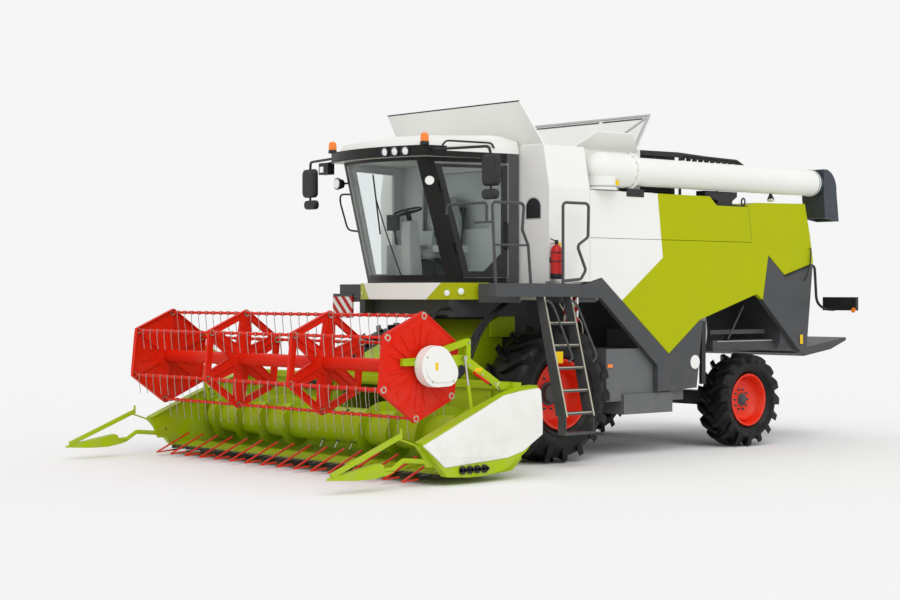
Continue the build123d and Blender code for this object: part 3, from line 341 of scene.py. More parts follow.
# Each paint's nodes, by the starts of their names. Of two paints that fit a name, the first is taken
node_paints = {
    "side_panels": "upper_panels side_door", "box_grey": "side_boxes", "deck": "engine_deck",
    "frame": "main_frame", "lime": "rear_hood", "cab_shell": "cab_frame", "glass": "cab_glass door_glass",
    "grey_plastic": "cab_interior", "black": "cab_door mirrors lamps", "valance": "valance",
    "white": "cab_roof grain_tank tank_lid unloading_tube header_shields", "spout": "unloading_spout",
    "rubber": "hoses", "knife": "knife_bar", "tyre": "front_tyre rear_tyre", "rim_red": "front_rim rear_rim",
    "header_green": "feeder_house header dividers lift_barrels reel_barrels", "bright": "lift_rods reel_rods",
    "carrier": "reel_arms", "red": "reel tine_bar fire_extinguisher",
    "black_paint": "front_axle rear_axle knuckle",
}
for name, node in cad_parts.items():
    fitting = [key for key, starts in node_paints.items() if name.startswith(tuple(starts.split()))]
    node.data.materials.clear()
    node.data.materials.append(paints[(fitting + ["dark_grey"])[0]])


# Forms for the detail pieces
def bent(points, radius, steps=4):
    """A path with each corner rounded off."""
    if not radius:
        return list(points)
    path = [points[0]]
    for before, here, after in zip(points, points[1:], points[2:]):
        entry = (before - here).normalized() * min(radius, (before - here).length * 0.45)
        leave = (after - here).normalized() * min(radius, (after - here).length * 0.45)
        for step in range(steps + 1):
            share = step / steps
            path.append(here + entry * (1 - share) ** 2 + leave * share ** 2)
    return path + [points[-1]]


def rectangle(left, right, low, high):
    """A rectangle's corners. As (radius, distance along the axis) they are the section of a flat ring."""
    return [(left, low), (right, low), (right, high), (left, high)]


def near(radius, along, *steps):
    """Corners of a section, as steps from one (radius, distance along the axis)."""
    return [(radius + out, along + on) for out, on in steps]


def turns(count):
    """Angles spread evenly around a circle."""
    return [2 * pi * number / count for number in range(count)]


def round_section(radius, thickness):
    """The section of a round bar bent into a hoop."""
    return [(radius + thickness * cos(angle), thickness * sin(angle)) for angle in turns(8)]


def spot(x, back, z, radius, angle):
    """A place on a circle that faces sideways."""
    return (x, back + cos(angle) * radius, z + sin(angle) * radius)


class Shape:
    """A mesh piece put together from simple forms, each in one of the paints."""

    def __init__(self, name, body, key, bevel=0.0, smooth=38):
        self.name, self.body, self.bevel, self.smooth = name, body, bevel, smooth
        self.form = bmesh.new()
        self.keys = []
        self.sign = 1
        self.paint(key)

    def paint(self, key):
        if key not in self.keys:
            self.keys.append(key)
        self.slot = self.keys.index(key)

    def both_sides(self):
        """What a loop over this adds is mirrored to the right side first, then stands on the left."""
        for self.sign in (-1, 1):
            yield self.sign

    def at(self, x, back, z):
        return place(self.sign * x, back, z)

    def faces(self, corners, faces):
        made = [self.form.verts.new(corner) for corner in corners]
        for face in faces:
            self.form.faces.new([made[index] for index in face]).material_index = self.slot

    def prism(self, corners, offset):
        """A flat outline pushed along an offset."""
        count = len(corners)
        sides = [(i, (i + 1) % count, count + (i + 1) % count, count + i) for i in range(count)]
        self.faces(list(corners) + [corner + offset for corner in corners],
                   [tuple(range(count)), tuple(range(2 * count - 1, count - 1, -1))] + sides)

    def side(self, outline, x_from, x_to):
        """An outline of (distance back, height) between two x."""
        offset = Vector((self.sign * (x_to - x_from), 0, 0))
        self.prism([self.at(x_from, back, z) for back, z in outline], offset)

    def front(self, outline, back_from, back_to):
        """An outline of (x, height) between two distances back."""
        self.prism([self.at(x, back_from, z) for x, z in outline], Vector((0, back_to - back_from, 0)))

    def plan(self, outline, z_from, z_to):
        """An outline of (x, distance back) between two heights."""
        self.prism([self.at(x, back, z_from) for x, back in outline], Vector((0, 0, z_to - z_from)))

    def block(self, x, back, z):
        """A box from its spans along each axis."""
        self.plan(rectangle(*x, *back), *z)

    def rings(self, rings, closed=False):
        """A skin through rings of corners, with its ends capped or joined."""
        count = len(rings[0])
        faces = []
        for number in range(len(rings) if closed else len(rings) - 1):
            here, after = number * count, (number + 1) % len(rings) * count
            for i in range(count):
                faces.append((here + i, here + (i + 1) % count, after + (i + 1) % count, after + i))
        if not closed:
            end = len(rings) * count
            faces += [tuple(range(count)), tuple(range(end - 1, end - count - 1, -1))]
        self.faces([corner for ring in rings for corner in ring], faces)

    def tube(self, points, radius, sides=10, bend=0.0):
        """A round bar along (x, distance back, height) points."""
        path = bent([self.at(*point) for point in points], bend)
        rings = []
        normal = None
        for number, here in enumerate(path):
            ahead = path[min(number + 1, len(path) - 1)] - path[max(number - 1, 0)]
            direction = ahead.normalized()
            if normal is None:
                normal = direction.orthogonal().normalized()
            normal = (normal - direction * normal.dot(direction)).normalized()
            other = direction.cross(normal)
            rings.append([here + normal * (cos(angle) * radius) + other * (sin(angle) * radius)
                          for angle in turns(sides)])
        self.rings(rings)

    def lathe(self, profile, origin, axis=(1, 0, 0), segments=48):
        """A closed section of (radius, distance along the axis) corners turned about the axis."""
        axis = Vector((self.sign * axis[0], axis[1], axis[2])).normalized()
        normal = axis.orthogonal().normalized()
        other = axis.cross(normal)
        centre = self.at(*origin)
        rings = []
        for angle in turns(segments):
            radial = normal * cos(angle) + other * sin(angle)
            rings.append([centre + radial * (radius or core_radius) + axis * along
                          for radius, along in profile])
        self.rings(rings, closed=True)

    def disc(self, origin, radius, depth, axis=(1, 0, 0), segments=24, edge=0.0):
        """A round disc from its back face's middle, with its front edge rounded off by a share."""
        tiny = 0.0002
        self.lathe([(tiny, 0), (radius, 0), (radius, depth * (1 - edge)), (radius * (1 - edge * 0.4), depth),
                    (tiny, depth)], origin, axis, segments)

    def done(self):
        bmesh.ops.remove_doubles(self.form, verts=self.form.verts, dist=1e-6)
        bmesh.ops.recalc_face_normals(self.form, faces=self.form.faces)
        mesh = bpy.data.meshes.new(self.name)
        self.form.to_mesh(mesh)
        self.form.free()
        for key in self.keys:
            mesh.materials.append(paints[key])
        mesh.shade_smooth()
        mesh.set_sharp_from_angle(angle=radians(self.smooth))
        piece = bpy.data.objects.new(self.name, mesh)
        bpy.context.collection.objects.link(piece)
        if self.bevel:
            bevel = piece.modifiers.new("edges", "BEVEL")
            bevel.width = self.bevel
            bevel.segments = 2
            bevel.limit_method = "ANGLE"
            bevel.angle_limit = radians(self.smooth)
            bevel.use_clamp_overlap = True
        if self.body:
            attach(piece, self.body)
        return piece


# Wheels
front_wheel = {"track": 2.6, "back": 2.795, "radius": 0.785, "width": 0.6, "rim": 0.385, "count": 17,
               "reach": 0.215, "dish": 0.0, "hub": 0.15, "hub_from": -0.1397, "cover": 0.095}
rear_wheel = {"track": 2.66, "back": 6.185, "radius": 0.59, "width": 0.44, "rim": 0.31, "count": 16,
              "reach": 0.165, "dish": 0.02, "hub": 0.095, "hub_from": -0.1597, "cover": 0.08}
lug_height = 0.048

# A lug from the tyre's middle to its shoulder: share of the half width, share of the reach, half its
# thickness, how far its top lies below the rolling radius, how far its foot lies below the carcass
lug_stations = [
    (-0.06, 0.0, 0.022, 0.0, 0.012), (0.18, 0.12, 0.026, 0.0, 0.012), (0.42, 0.33, 0.029, 0.001, 0.014),
    (0.66, 0.6, 0.033, 0.004, 0.03), (0.85, 0.83, 0.038, 0.011, 0.055), (0.96, 0.96, 0.042, 0.026, 0.09),
    (1.0, 1.0, 0.042, 0.06, 0.125),
]


def tyre(end, side, sign, size):
    """A smooth carcass with two rows of curved lugs."""
    radius, seat, half = size["radius"], size["rim"], size["width"] / 2
    base = radius - lug_height
    outer = (near(seat, half - 0.087, (0.0004, -0.004), (0.012, 0.014), (0.03, 0.016))
             + near(seat, half, (0.055, -0.045), (0.085, -0.016))
             + near((base + seat) / 2, half, (0, -0.001), (0.045, -0.003))
             + near(base, half, (-0.06, -0.026), (-0.026, -0.062))
             + [(base - 0.008, half * 0.5), (base, half * 0.12)])
    centre = (sign * size["track"] / 2, size["back"], radius)
    shape = Shape(f"{end}_tyre_{side}_tread", f"{end}_wheel_{side}", "tyre", bevel=0.006)
    shape.lathe(outer + [(r, -along) for r, along in reversed(outer)], centre, segments=72)
    for edge in (-1, 1):
        ridge = near(seat, edge * (half - 0.012), (0.082, 0), (0.094, edge * 0.01), (0.106, 0))
        shape.lathe(ridge, centre, segments=72)
    middle = place(*centre)
    for row in (-1, 1):
        for number in range(size["count"]):
            start = (number + (row * sign + 1) / 4) * 2 * pi / size["count"]
            rings = []
            for across, reach, thickness, drop, depth in lug_stations:
                foot, top = base - depth, radius - drop
                ring = []
                for turn, height in ((-1.35, foot), (1.35, foot), (1, top), (-1, top)):
                    angle = start - (size["reach"] * reach + turn * thickness) / radius
                    ring.append(middle + Vector((row * half * across, cos(angle) * height,
                                                 sin(angle) * height)))
                rings.append(ring)
            shape.rings(rings)
    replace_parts(shape.done(), f"{end}_tyre_{side}")


def rim(end, side, sign, size):
    """A deep dished rim with rounded flanges, wheel bolts and a dark hub cover."""
    radius, half, dish, hub = size["rim"], size["width"] / 2 - 0.045, size["dish"], size["hub"]
    x, back, z = size["track"] / 2, size["back"], size["radius"]
    flange = [(-0.002, -0.042), (0.02, -0.022), (0.024, -0.01), (0.016, 0), (-0.004, -0.003)]
    shape = Shape(f"{end}_rim_{side}_disc", f"{end}_wheel_{side}", "rim_red")
    shape.sign = sign
    shape.lathe(near(hub, dish, (-0.03, 0.04), (0, 0.022), (0.03, 0.012))
                + near(radius, dish, (-0.095, 0.016), (-0.066, 0.036), (-0.05, 0.085))
                + near(radius, half, (-0.04, -0.095), (-0.022, -0.062), (-0.014, -0.02), *reversed(flange))
                + near(radius, -half, *[(out, -on) for out, on in flange], (-0.018, 0.04))
                + near(radius, dish, (-0.026, -0.05), (-0.085, -0.002)) + [(hub + 0.01, dish - 0.002)]
                + near(hub, size["hub_from"], (0.01, 0), (-0.03, 0)), (x, back, z), segments=64)
    crown = dish + size["cover"]
    shape.paint("dark_grey")
    shape.lathe([(0, crown - 0.004)] + near(hub, crown, (-0.07, 0), (-0.045, -0.012))
                + near(hub, dish, (-0.036, 0.045), (-0.012, 0.04), (-0.012, 0.03), (-0.05, 0.03))
                + [(hub - 0.05, crown - 0.02), (0, crown - 0.02)], (x, back, z), segments=40)
    for angle in turns(10):
        bolt = spot(x + dish + 0.01, back, z, hub + 0.032, angle)
        shape.paint("steel")
        shape.disc(bolt, 0.017, 0.008, segments=16)
        shape.paint("dark_grey")
        shape.disc((bolt[0] + 0.007, *bolt[1:]), 0.012, 0.02, segments=6)
    hole_circle = hub + 0.55 * (radius - 0.08 - hub)
    for angle in turns(8):
        hole = spot(x + dish + 0.0125, back, z, hole_circle, angle + pi / 8)
        shape.disc(hole, 0.011, 0.0015, segments=12)
    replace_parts(shape.done(), f"{end}_rim_{side}")


for side, sign in (("left", 1), ("right", -1)):
    for end, size in (("front", front_wheel), ("rear", rear_wheel)):
        tyre(end, side, sign, size)
        rim(end, side, sign, size)

# Reel: what is pressed on each face of its plates, as strips (turn and radius of one end, of the other
# end, width, depth), and the section of the ring around the shaft
reel_height, reel_radius, plate_edge = 1.194, 0.52, 0.561
reel_half_width, spider_x, plate_half = 2.33, 0.78, 0.006
bar_angles = [radians(90 - 5.84 + 60 * number) for number in range(6)]
outer_face = ([(0, 0.16, 0, 0.445, 0.055, 0.011), (0.3, 0.22, 0.3, 0.4, 0.03, 0.009),
               (0.75, 0.22, 0.75, 0.4, 0.03, 0.009), (0.06, 0.535, pi / 3 - 0.06, 0.535, 0.02, 0.009)],
              rectangle(0.034, 0.13, 0, 0.005))
inner_face = ([(0, plate_edge, pi / 3, plate_edge, 0.01, 0.04), (0.3, 0.22, 0.3, 0.4, 0.022, 0.008),
               (0.75, 0.22, 0.75, 0.4, 0.022, 0.008), (0, 0.09, 0, 0.48, 0.05, 0.022)],
              [(0.074, 0), (0.15, 0), (0.15, 0.012), (0.074, 0.018)])
spider_face = ([(0, plate_edge - 0.001, pi / 3, plate_edge - 0.001, 0.01, 0.017),
                (0, 0.1, 0, 0.48, 0.02, 0.017),
                (0.15, 0.452, pi / 3 - 0.15, 0.452, 0.009, 0.014), (0.15, 0.452, pi / 6, 0.178, 0.009, 0.014),
                (pi / 3 - 0.15, 0.452, pi / 6, 0.178, 0.009, 0.014)],
               [(0.074, 0), (0.14, 0), (0.14, 0.01), (0.074, 0.016)])
plate_faces = [(x + out * plate_half, out, spider_face) for x in (-spider_x, spider_x) for out in (-1, 1)]
for sign in (-1, 1):
    plate_faces.append((sign * (reel_half_width + plate_half), sign, outer_face))
    plate_faces.append((sign * (reel_half_width - plate_half), -sign, inner_face))

pressings = Shape("reel_pressings", "pickup_reel", "red", bevel=0.002)
for skin, out, (strips, ring) in plate_faces:
    for angle in bar_angles:
        for turn_a, radius_a, turn_b, radius_b, width, depth in strips:
            start = place(*spot(skin, 0, reel_height, radius_a, angle + turn_a))
            end = place(*spot(skin, 0, reel_height, radius_b, angle + turn_b))
            across = (end - start).normalized().cross(Vector((1, 0, 0))) * width / 2
            pressings.prism([start - across, start + across, end + across, end - across],
                            Vector((out * depth, 0, 0)))
    pressings.lathe(ring, (skin, 0, reel_height), (out, 0, 0), 32)
pressings.done()

bearings = Shape("reel_bar_bearings", "pickup_reel", "zinc", bevel=0.001)
for x in (-reel_half_width, -spider_x, spider_x, reel_half_width):
    at_end = abs(x) == reel_half_width
    for angle in bar_angles:
        centre = spot(x, 0, reel_height, reel_radius, angle)
        for face in (-1, 1):
            top = 0.012 if at_end and face * x > 0 else 0.022
            section = [(0.0215, 0.006), (0.038, 0.006), (0.036, top), (0.0215, top)]
            bearings.lathe(section, centre, (face, 0, 0), 20)
        for number in range(3 if at_end else 0):
            bolt = spot(x + (0.011 if x > 0 else -0.011), *centre[1:], 0.029, angle + number * 2 * pi / 3)
            bearings.disc(bolt, 0.006, 0.004, (x, 0, 0), 6)
bearings.done()

# Tine bars, each with spring tines of steel wire on coil clips
tine_pitch = 0.152
for number, angle in enumerate(bar_angles):
    bar = Shape(f"tine_bar_{number + 1}_springs", f"tines_{number + 1}", "red")
    x, back, z = spot(0, 0, reel_height, reel_radius, angle)
    reach = reel_half_width - 0.012
    bar.tube([(-reach, back, z), (reach, back, z)], 0.0155, 8)
    for sign in bar.both_sides():
        bar.tube([(reach - 0.002, back, z), (reel_half_width + 0.0115, back, z)], 0.0205, 16)
    for tine in range(30):
        middle = (tine - 14.5) * tine_pitch
        bar.paint("red")
        bar.lathe(rectangle(0.0145, 0.0225, -0.017, 0.017), (middle, back, z), segments=12)
        bar.paint("wire")
        bar.lathe(rectangle(0.015, 0.0215, 0.017, 0.03), (middle, back, z), segments=12)
        wire = ((0.024, 0.017, 0), (0.024, 0.022, 0.05), (0.022, 0.01, 0.14), (0.022, 0.002, 0.214))
        bar.tube([(middle + along, back - ahead, z - down) for along, ahead, down in wire], 0.0038, 6, 0.05)
    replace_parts(bar.done(), f"tine_bar_{number + 1}")

# Header: a smooth auger with retractable fingers
auger_centre = (0, 0.8, 0.455)
drum_radius, flight_radius = 0.2, 0.3
flight_pitch, flight_end, flight_turns, flight_steps = 0.48, 2.38, 4, 32
auger = Shape("auger_drum_and_flights", "auger", "header_green")
auger.lathe([(0, -2.39), (drum_radius - 0.01, -2.39), (drum_radius, -2.38), (drum_radius, 2.38),
             (drum_radius - 0.01, 2.39), (0, 2.39)], auger_centre, segments=64)
for sign in auger.both_sides():
    auger.lathe(rectangle(0, 0.06, 2.385, 2.4695), auger_centre, segments=24)
    rings = []
    for step in range(flight_turns * flight_steps + 1):
        turn = step * 2 * pi / flight_steps
        radial = Vector((0, cos(turn), sign * sin(turn)))
        middle = auger.at(flight_end - step * flight_pitch / flight_steps, *auger_centre[1:])
        foot, tip = middle + radial * (drum_radius - 0.01), middle + radial * flight_radius
        edge = Vector((0.0028, 0, 0))
        rings.append([foot - edge, tip - edge * 0.8, tip + edge * 0.8, foot + edge])
    auger.rings(rings)
for number in range(9):
    angle = number * 2 * pi / 3
    start, end = (spot((number - 4) * 0.09, *auger_centre[1:], radius, angle) for radius in (0.196, 0.295))
    auger.paint("black")
    auger.disc(start, 0.022, 0.009, (0, cos(angle), sin(angle)), 14)
    auger.paint("bright")
    auger.tube([start, end], 0.0075, 8)
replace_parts(auger.done(), "header_auger")

# Creased side shields, from (distance back, height) corners on three planes
shield_top = [(-0.165, 0.424), (0.935, 0.887), (1.16, 0.922), (1.42, 0.945), (1.448, 0.918), (1.474, 0.655)]
shield_crease = [(-0.02, 0.31)]
shield_foot = [(1.493, 0.458), (1.211, 0.296), (0.987, 0.24), (0.13, 0.189)]
shield_planes = ((2.595, shield_top + shield_crease), (2.573, shield_foot),
                 (2.5654, shield_top + shield_foot + shield_crease))
around = (0, 1, 2, 3, 4, 5, 7, 8, 9, 10, 6)
shields = []
for side, sign in (("left", 1), ("right", -1)):
    shield = Shape("header_shield_" + side, "header", "white", bevel=0.007, smooth=5)
    shield.sign = sign
    faces = [tuple(range(7)), (5, 7, 8), (5, 8, 9), (5, 9, 6), (6, 9, 10), tuple(range(21, 10, -1))]
    for number, here in enumerate(around):
        following = (number + 1) % len(around)
        faces.append((here, 11 + number, 11 + following, around[following]))
    shield.faces([shield.at(x, *corner) for x, corners in shield_planes for corner in corners], faces)
    shields.append(shield.done())
for shield in shields:
    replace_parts(shield, "header_shields")

header = Shape("header_fittings", "header", "header_green", bevel=0.002)
flange = [(-0.15, 0.448), (0.52, 0.724), (1.0, 0.894), (1.22, 0.956), (1.42, 0.966)]
for sign in header.both_sides():
    # The turned flange along the top of each side sheet, and its bolts
    header.paint("header_green")
    for (back_a, z_a), (back_b, z_b) in zip(flange, flange[1:]):
        header.side([(back_a, z_a), (back_b, z_b), (back_b, z_b + 0.009), (back_a, z_a + 0.009)], 2.44, 2.566)
    header.paint("zinc")
    for back, z in ((0.05, 0.3), (0.1, 0.15), (0.42, 0.6), (0.75, 0.7), (1.1, 0.84)):
        header.disc((2.4698, back, z), 0.013, 0.008, (-1, 0, 0), 6)
    # The dark drive under the shield
    header.paint("black")
    for back in (0.36, 0.46, 0.56, 0.66):
        header.lathe(rectangle(0.01, 0.042, 0, 0.022), (2.566, back, 0.15), segments=16)
    header.block((2.5655, 2.588), (0.32, 0.72), (0.135, 0.165))
# The trough's wear strips, and the knife guards with their bolts
header.paint("header_green")
wear_strip = [(0.21, 0.124), (0.42, 0.1515), (0.62, 0.1215), (0.62, 0.13), (0.42, 0.16), (0.21, 0.132)]
for x in (-1.86, -1.24, 1.24, 1.86):
    header.side(wear_strip, x - 0.012, x + 0.012)
for x in (-2.1, -1.4, -0.7, 0.7, 1.4, 2.1):
    header.block((x - 0.02, x + 0.02), (1.1735, 1.1655), (0.62, 0.9))
guard_pitch = 0.152
for number in range(31):
    x = (number - 15) * guard_pitch
    header.paint("zinc")
    header.disc((x, 0.165, 0.1035), 0.012, 0.008, upwards, 6)
    header.paint("steel")
    header.plan([(x - 0.036, 0.128), (x + 0.036, 0.128), (x + 0.004, 0.052)], 0.1001, 0.103)
# Black rubber strips at the back of the trough
header.paint("black")
for x in (-0.9, 0.9):
    header.block((x - 0.28, x + 0.28), (1.1655, 1.1595), (0.8, 0.905))
header.done()


# Reel carrier: drive cover with a rolled edge, beading and fasteners
def cover_outline(grow):
    """The hull of the cover's two rounds, as (distance back, height) corners."""
    big, small = (0.09, 1.204, 0.205 + grow), (0.23, 1.134, 0.13 + grow)
    heading = Vector((small[0] - big[0], small[1] - big[1]))
    spread = acos((big[2] - small[2]) / heading.length)
    direction = atan2(heading.y, heading.x)
    outline = []
    for (back, z, radius), start, stop in ((big, direction + spread, direction + 2 * pi - spread),
                                           (small, direction - spread, direction + spread)):
        for step in range(17):
            outline.append(spot(0, back, z, radius, start + (stop - start) * step / 16)[1:])
    return outline


carrier = Shape("reel_drive_cover", "reel_carrier", "white", bevel=0.006, smooth=30)
for grow, x_from, x_to in ((0.006, 2.407, 2.43), (0.003, 2.43, 2.508), (-0.045, 2.508, 2.521)):
    carrier.side(cover_outline(grow), x_from, x_to)
carrier.paint("yellow")
carrier.block((2.521, 2.5216), (0.045, 0.085), (1.165, 1.245))
carrier.paint("zinc")
for back, z in ((-0.05, 1.3), (0.3, 1.05), (0.02, 1.05)):
    carrier.disc((2.508, back, z), 0.01, 0.006, segments=6)
carrier.done()

arms = Shape("reel_arm_fittings", "reel_carrier", "header_green", bevel=0.0015)
for sign in arms.both_sides():
    arms.paint("header_green")
    for x, depth in ((2.3445, -0.0015), (2.3855, 0.007)):
        for front_z, rear_z in ((1.278, 1.301), (1.225, 1.217)):
            bead = [(-0.265, front_z), (0.4, rear_z), (0.4, rear_z - 0.01), (-0.265, front_z - 0.01)]
            arms.side(bead, x, x + depth)
    arms.paint("zinc")
    for back, z in ((0.62, 1.2), (0.8, 1.1), (0.98, 1.0), (0.62, 1.43), (0.19, 1.33)):
        arms.disc((2.3855, back, z), 0.014, 0.009, segments=6)
    arms.paint("red")
    arms.tube([(2.405, 0.67, 1.122), (2.405, 0.87, 1.01)], 0.016)
    arms.paint("black")
    arms.tube([(2.405, 0.87, 1.01), (2.405, 0.91, 0.988)], 0.011, 8)
    arms.paint("yellow")
    arms.block((2.3855, 2.3863), (0.7, 0.8), (1.13, 1.17))
arms.done()

# Cab: lamps, rails, wiper, mirrors and what hangs on the far pillar
cab = Shape("cab_fittings", "chassis", "black", bevel=0.002)


def round_lamp(key, origin, axis, bezel, lens):
    """A round lamp: its bezel in one of the paints, and its lens."""
    cab.paint(key)
    cab.lathe(bezel, origin, axis, 28)
    cab.paint("lamp")
    cab.lathe(lens, origin, axis, 28)


for x in (0.34, 0.48, 0.62):
    round_lamp("black", (x, 1.33 - 0.18 * (1 - (x / 0.85) ** 2), 3.538), (x * 0.45, -1, -0.12),
               [(0.048, -0.035), (0.06, -0.035), (0.06, 0.018), (0.048, 0.022)],
               [(0, -0.02), (0.048, -0.02), (0.048, 0.004), (0.03, 0.012), (0, 0.016)])
for sign in cab.both_sides():
    for x, back, z, lean in ((0.77, 1.737, 1.943, 0.55), (0.892, 1.8375, 1.962, 1.6)):
        round_lamp("lime", (x, back, z), (lean, -1, 0),
                   [(0.038, -0.02), (0.058, -0.02), (0.054, 0.006), (0.04, 0.01)],
                   [(0, -0.02), (0.04, -0.02), (0.04, 0), (0.024, 0.008), (0, 0.01)])
    # The rail along each edge of the roof
    cab.paint("black")
    cab.tube([(0.9, 1.55, 3.6), (0.93, 1.58, 3.655), (1.01, 2.2, 3.655), (1.01, 2.24, 3.6)], 0.012, 8, 0.05)
# The grab loop, spot lamp and box lamp on the far pillar
cab.tube([(-0.79, 1.585, 3.12), (-1.02, 1.6, 3.13), (-1.06, 1.62, 3.05), (-0.98, 1.68, 2.7),
          (-0.8, 1.72, 2.68)], 0.012, 8, 0.06)
cab.tube([(-0.78, 1.55, 3.25), (-0.86, 1.5, 3.25)], 0.012, 8)
cab.lathe([(0, -0.05), (0.05, -0.04), (0.072, 0.03), (0.072, 0.045), (0, 0.045)], (-0.88, 1.48, 3.245),
          (-0.1, -1, 0), 28)
cab.block((-1.14, -0.96), (1.36, 1.46), (3.36, 3.5))
cab.tube([(-0.9, 1.4, 3.5), (-1.05, 1.41, 3.49)], 0.014, 8)
cab.paint("lamp")
cab.lathe([(0, 0), (0.062, 0), (0.055, 0.01), (0, 0.014)], (-0.8845, 1.435, 3.245), (-0.1, -1, 0), 28)
cab.block((-1.115, -1.045), (1.354, 1.36), (3.385, 3.455))
# Wiper on the windscreen and the blank round plate on the near pillar
cab.paint("black")
cab.tube([(0.16, 1.57, 2.13), (0.05, 1.44, 2.62), (-0.02, 1.34, 3.02)], 0.008, 8)
cab.tube([(-0.055, 1.43, 2.62), (0.02, 1.262, 3.3)], 0.01, 6)
cab.paint("white")
cab.lathe(rectangle(0, 0.052, 0, 0.004), (0.775, 1.47, 3.21), (0.9, -0.9, 0.25), 32)
cab.done()

mirror = Shape("mirror_heads", "chassis", "black")
corner_radius = 0.05
shell = ((-0.04, 0.7), (-0.036, 0.86), (-0.02, 0.97), (0.0, 1.0), (0.02, 1.0), (0.028, 0.97))
mirror_heads = ((1.645, 0.13, 3.29, 0.175, 1.61), (1.625, 0.12, 3.026, 0.056, 1.615))
for sign in mirror.both_sides():
    for x, half_width, z, half_height, back in mirror_heads:
        outline = []
        for quarter, (across, up) in enumerate(((1, 1), (-1, 1), (-1, -1), (1, -1))):
            for step in range(6):
                angle = radians(90 * quarter + 18 * step)
                outline.append((across * (half_width - corner_radius) + cos(angle) * corner_radius,
                                up * (half_height - corner_radius) + sin(angle) * corner_radius))
        mirror.paint("black")
        mirror.rings([[mirror.at(x + across * share, back + shift, z + up * share) for across, up in outline]
                      for shift, share in shell])
        mirror.paint("mirror")
        mirror_glass = [(x + across * 0.9, z + up * 0.9) for across, up in outline]
        mirror.front(mirror_glass, back + 0.0275, back + 0.0295)
    mirror.paint("black")
    mirror.tube([(0.875, 1.42, 3.55), (1.62, 1.6, 3.55), (1.64, 1.61, 3.46)], 0.016, 10, 0.05)
    mirror.tube([(1.64, 1.61, 3.12), (1.64, 1.61, 3.07)], 0.014)
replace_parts(mirror.done(), "mirrors")

# Cab interior: steering column and wheel, screen, console, and the seat's frame
controls = Shape("cab_controls", "chassis", "trim_grey", bevel=0.008)
controls.side([(1.78, 2.0905), (1.97, 2.0905), (1.9, 2.72), (1.87, 2.8), (1.78, 2.78), (1.76, 2.6)],
              -0.078, 0.078)
controls.block((0.29, 0.39), (1.93, 2.4), (2.42, 2.5))
controls.block((-0.66, -0.32), (2.02, 2.38), (2.0905, 2.52))
controls.paint("dark_grey")
controls.block((-0.2, 0.2), (2.08, 2.32), (2.0905, 2.31))
controls.block((-0.25, 0.25), (2.0, 2.42), (2.31, 2.335))
controls.block((0.26, 0.3), (2.1, 2.2), (2.33, 2.43))
controls.side([(2.4, 2.33), (2.45, 2.33), (2.53, 2.96), (2.5, 2.96)], -0.2, 0.2)
controls.block((-0.62, -0.4), (1.985, 2.015), (2.69, 2.88))
controls.tube([(-0.51, 2.02, 2.7), (-0.51, 2.06, 2.5)], 0.014, 8)
controls.paint("black")
controls.tube([(0, 1.84, 2.76), (0, 1.8, 2.89)], 0.03, 12)
controls.lathe(round_section(0.165, 0.013), (0, 1.795, 2.895), (0, -0.3, 0.95), 40)
for turn in turns(3):
    angle = turn + 0.5
    spoke_end = (0.16 * cos(angle), 1.795 + 0.153 * sin(angle), 2.89 + 0.048 * sin(angle))
    controls.tube([(0, 1.795, 2.89), spoke_end], 0.012, 8)
controls.tube([(0.34, 1.98, 2.49), (0.34, 1.96, 2.6)], 0.016)
controls.lathe([(0, 0), (0.022, 0.01), (0.03, 0.05), (0.018, 0.09), (0, 0.095)], (0.34, 1.955, 2.585),
               (0, -0.1, 1), 16)
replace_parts(controls.done(), "cab_interior")


def cushion(name, sections):
    """A closed cushion through sections: (distance back, height, half width, half thickness)."""
    pad = Shape(name, "chassis", "fabric", smooth=180)
    middles = [place(0, back, z) for back, z, half_width, half_depth in sections]
    depth = (middles[-1] - middles[0]).normalized().cross(Vector((1, 0, 0)))
    rings = []
    for middle, (back, z, half_width, half_depth) in zip(middles, sections):
        ring = []
        for angle in turns(28):
            across, deep = cos(angle), sin(angle)
            crown = 1 - 0.16 * abs(across) ** 6 + 0.05 * cos(across * 9)
            wide = abs(across) ** 0.45 * half_width * (1 if across > 0 else -1)
            thick = abs(deep) ** 0.7 * half_depth * crown * (1 if deep > 0 else -1)
            ring.append(middle + Vector((wide, 0, 0)) + depth * thick)
        rings.append(ring)
    pad.rings(rings)
    piece = pad.done()
    smoother = piece.modifiers.new("round", "SUBSURF")
    smoother.levels = smoother.render_levels = 1


cushion("seat_cushion", [(1.965, 2.385, 0.2, 0.03), (1.98, 2.385, 0.245, 0.05), (2.08, 2.39, 0.262, 0.058),
                         (2.13, 2.39, 0.256, 0.052), (2.18, 2.39, 0.262, 0.057), (2.36, 2.385, 0.255, 0.052),
                         (2.385, 2.385, 0.21, 0.034)])
cushion("seat_back", [(2.375, 2.455, 0.19, 0.026), (2.382, 2.475, 0.225, 0.05), (2.4, 2.6, 0.242, 0.056),
                      (2.408, 2.66, 0.236, 0.048), (2.416, 2.72, 0.24, 0.054), (2.438, 2.88, 0.222, 0.05),
                      (2.448, 2.93, 0.16, 0.04), (2.455, 2.98, 0.165, 0.046), (2.468, 3.06, 0.145, 0.04),
                      (2.472, 3.08, 0.1, 0.022)])

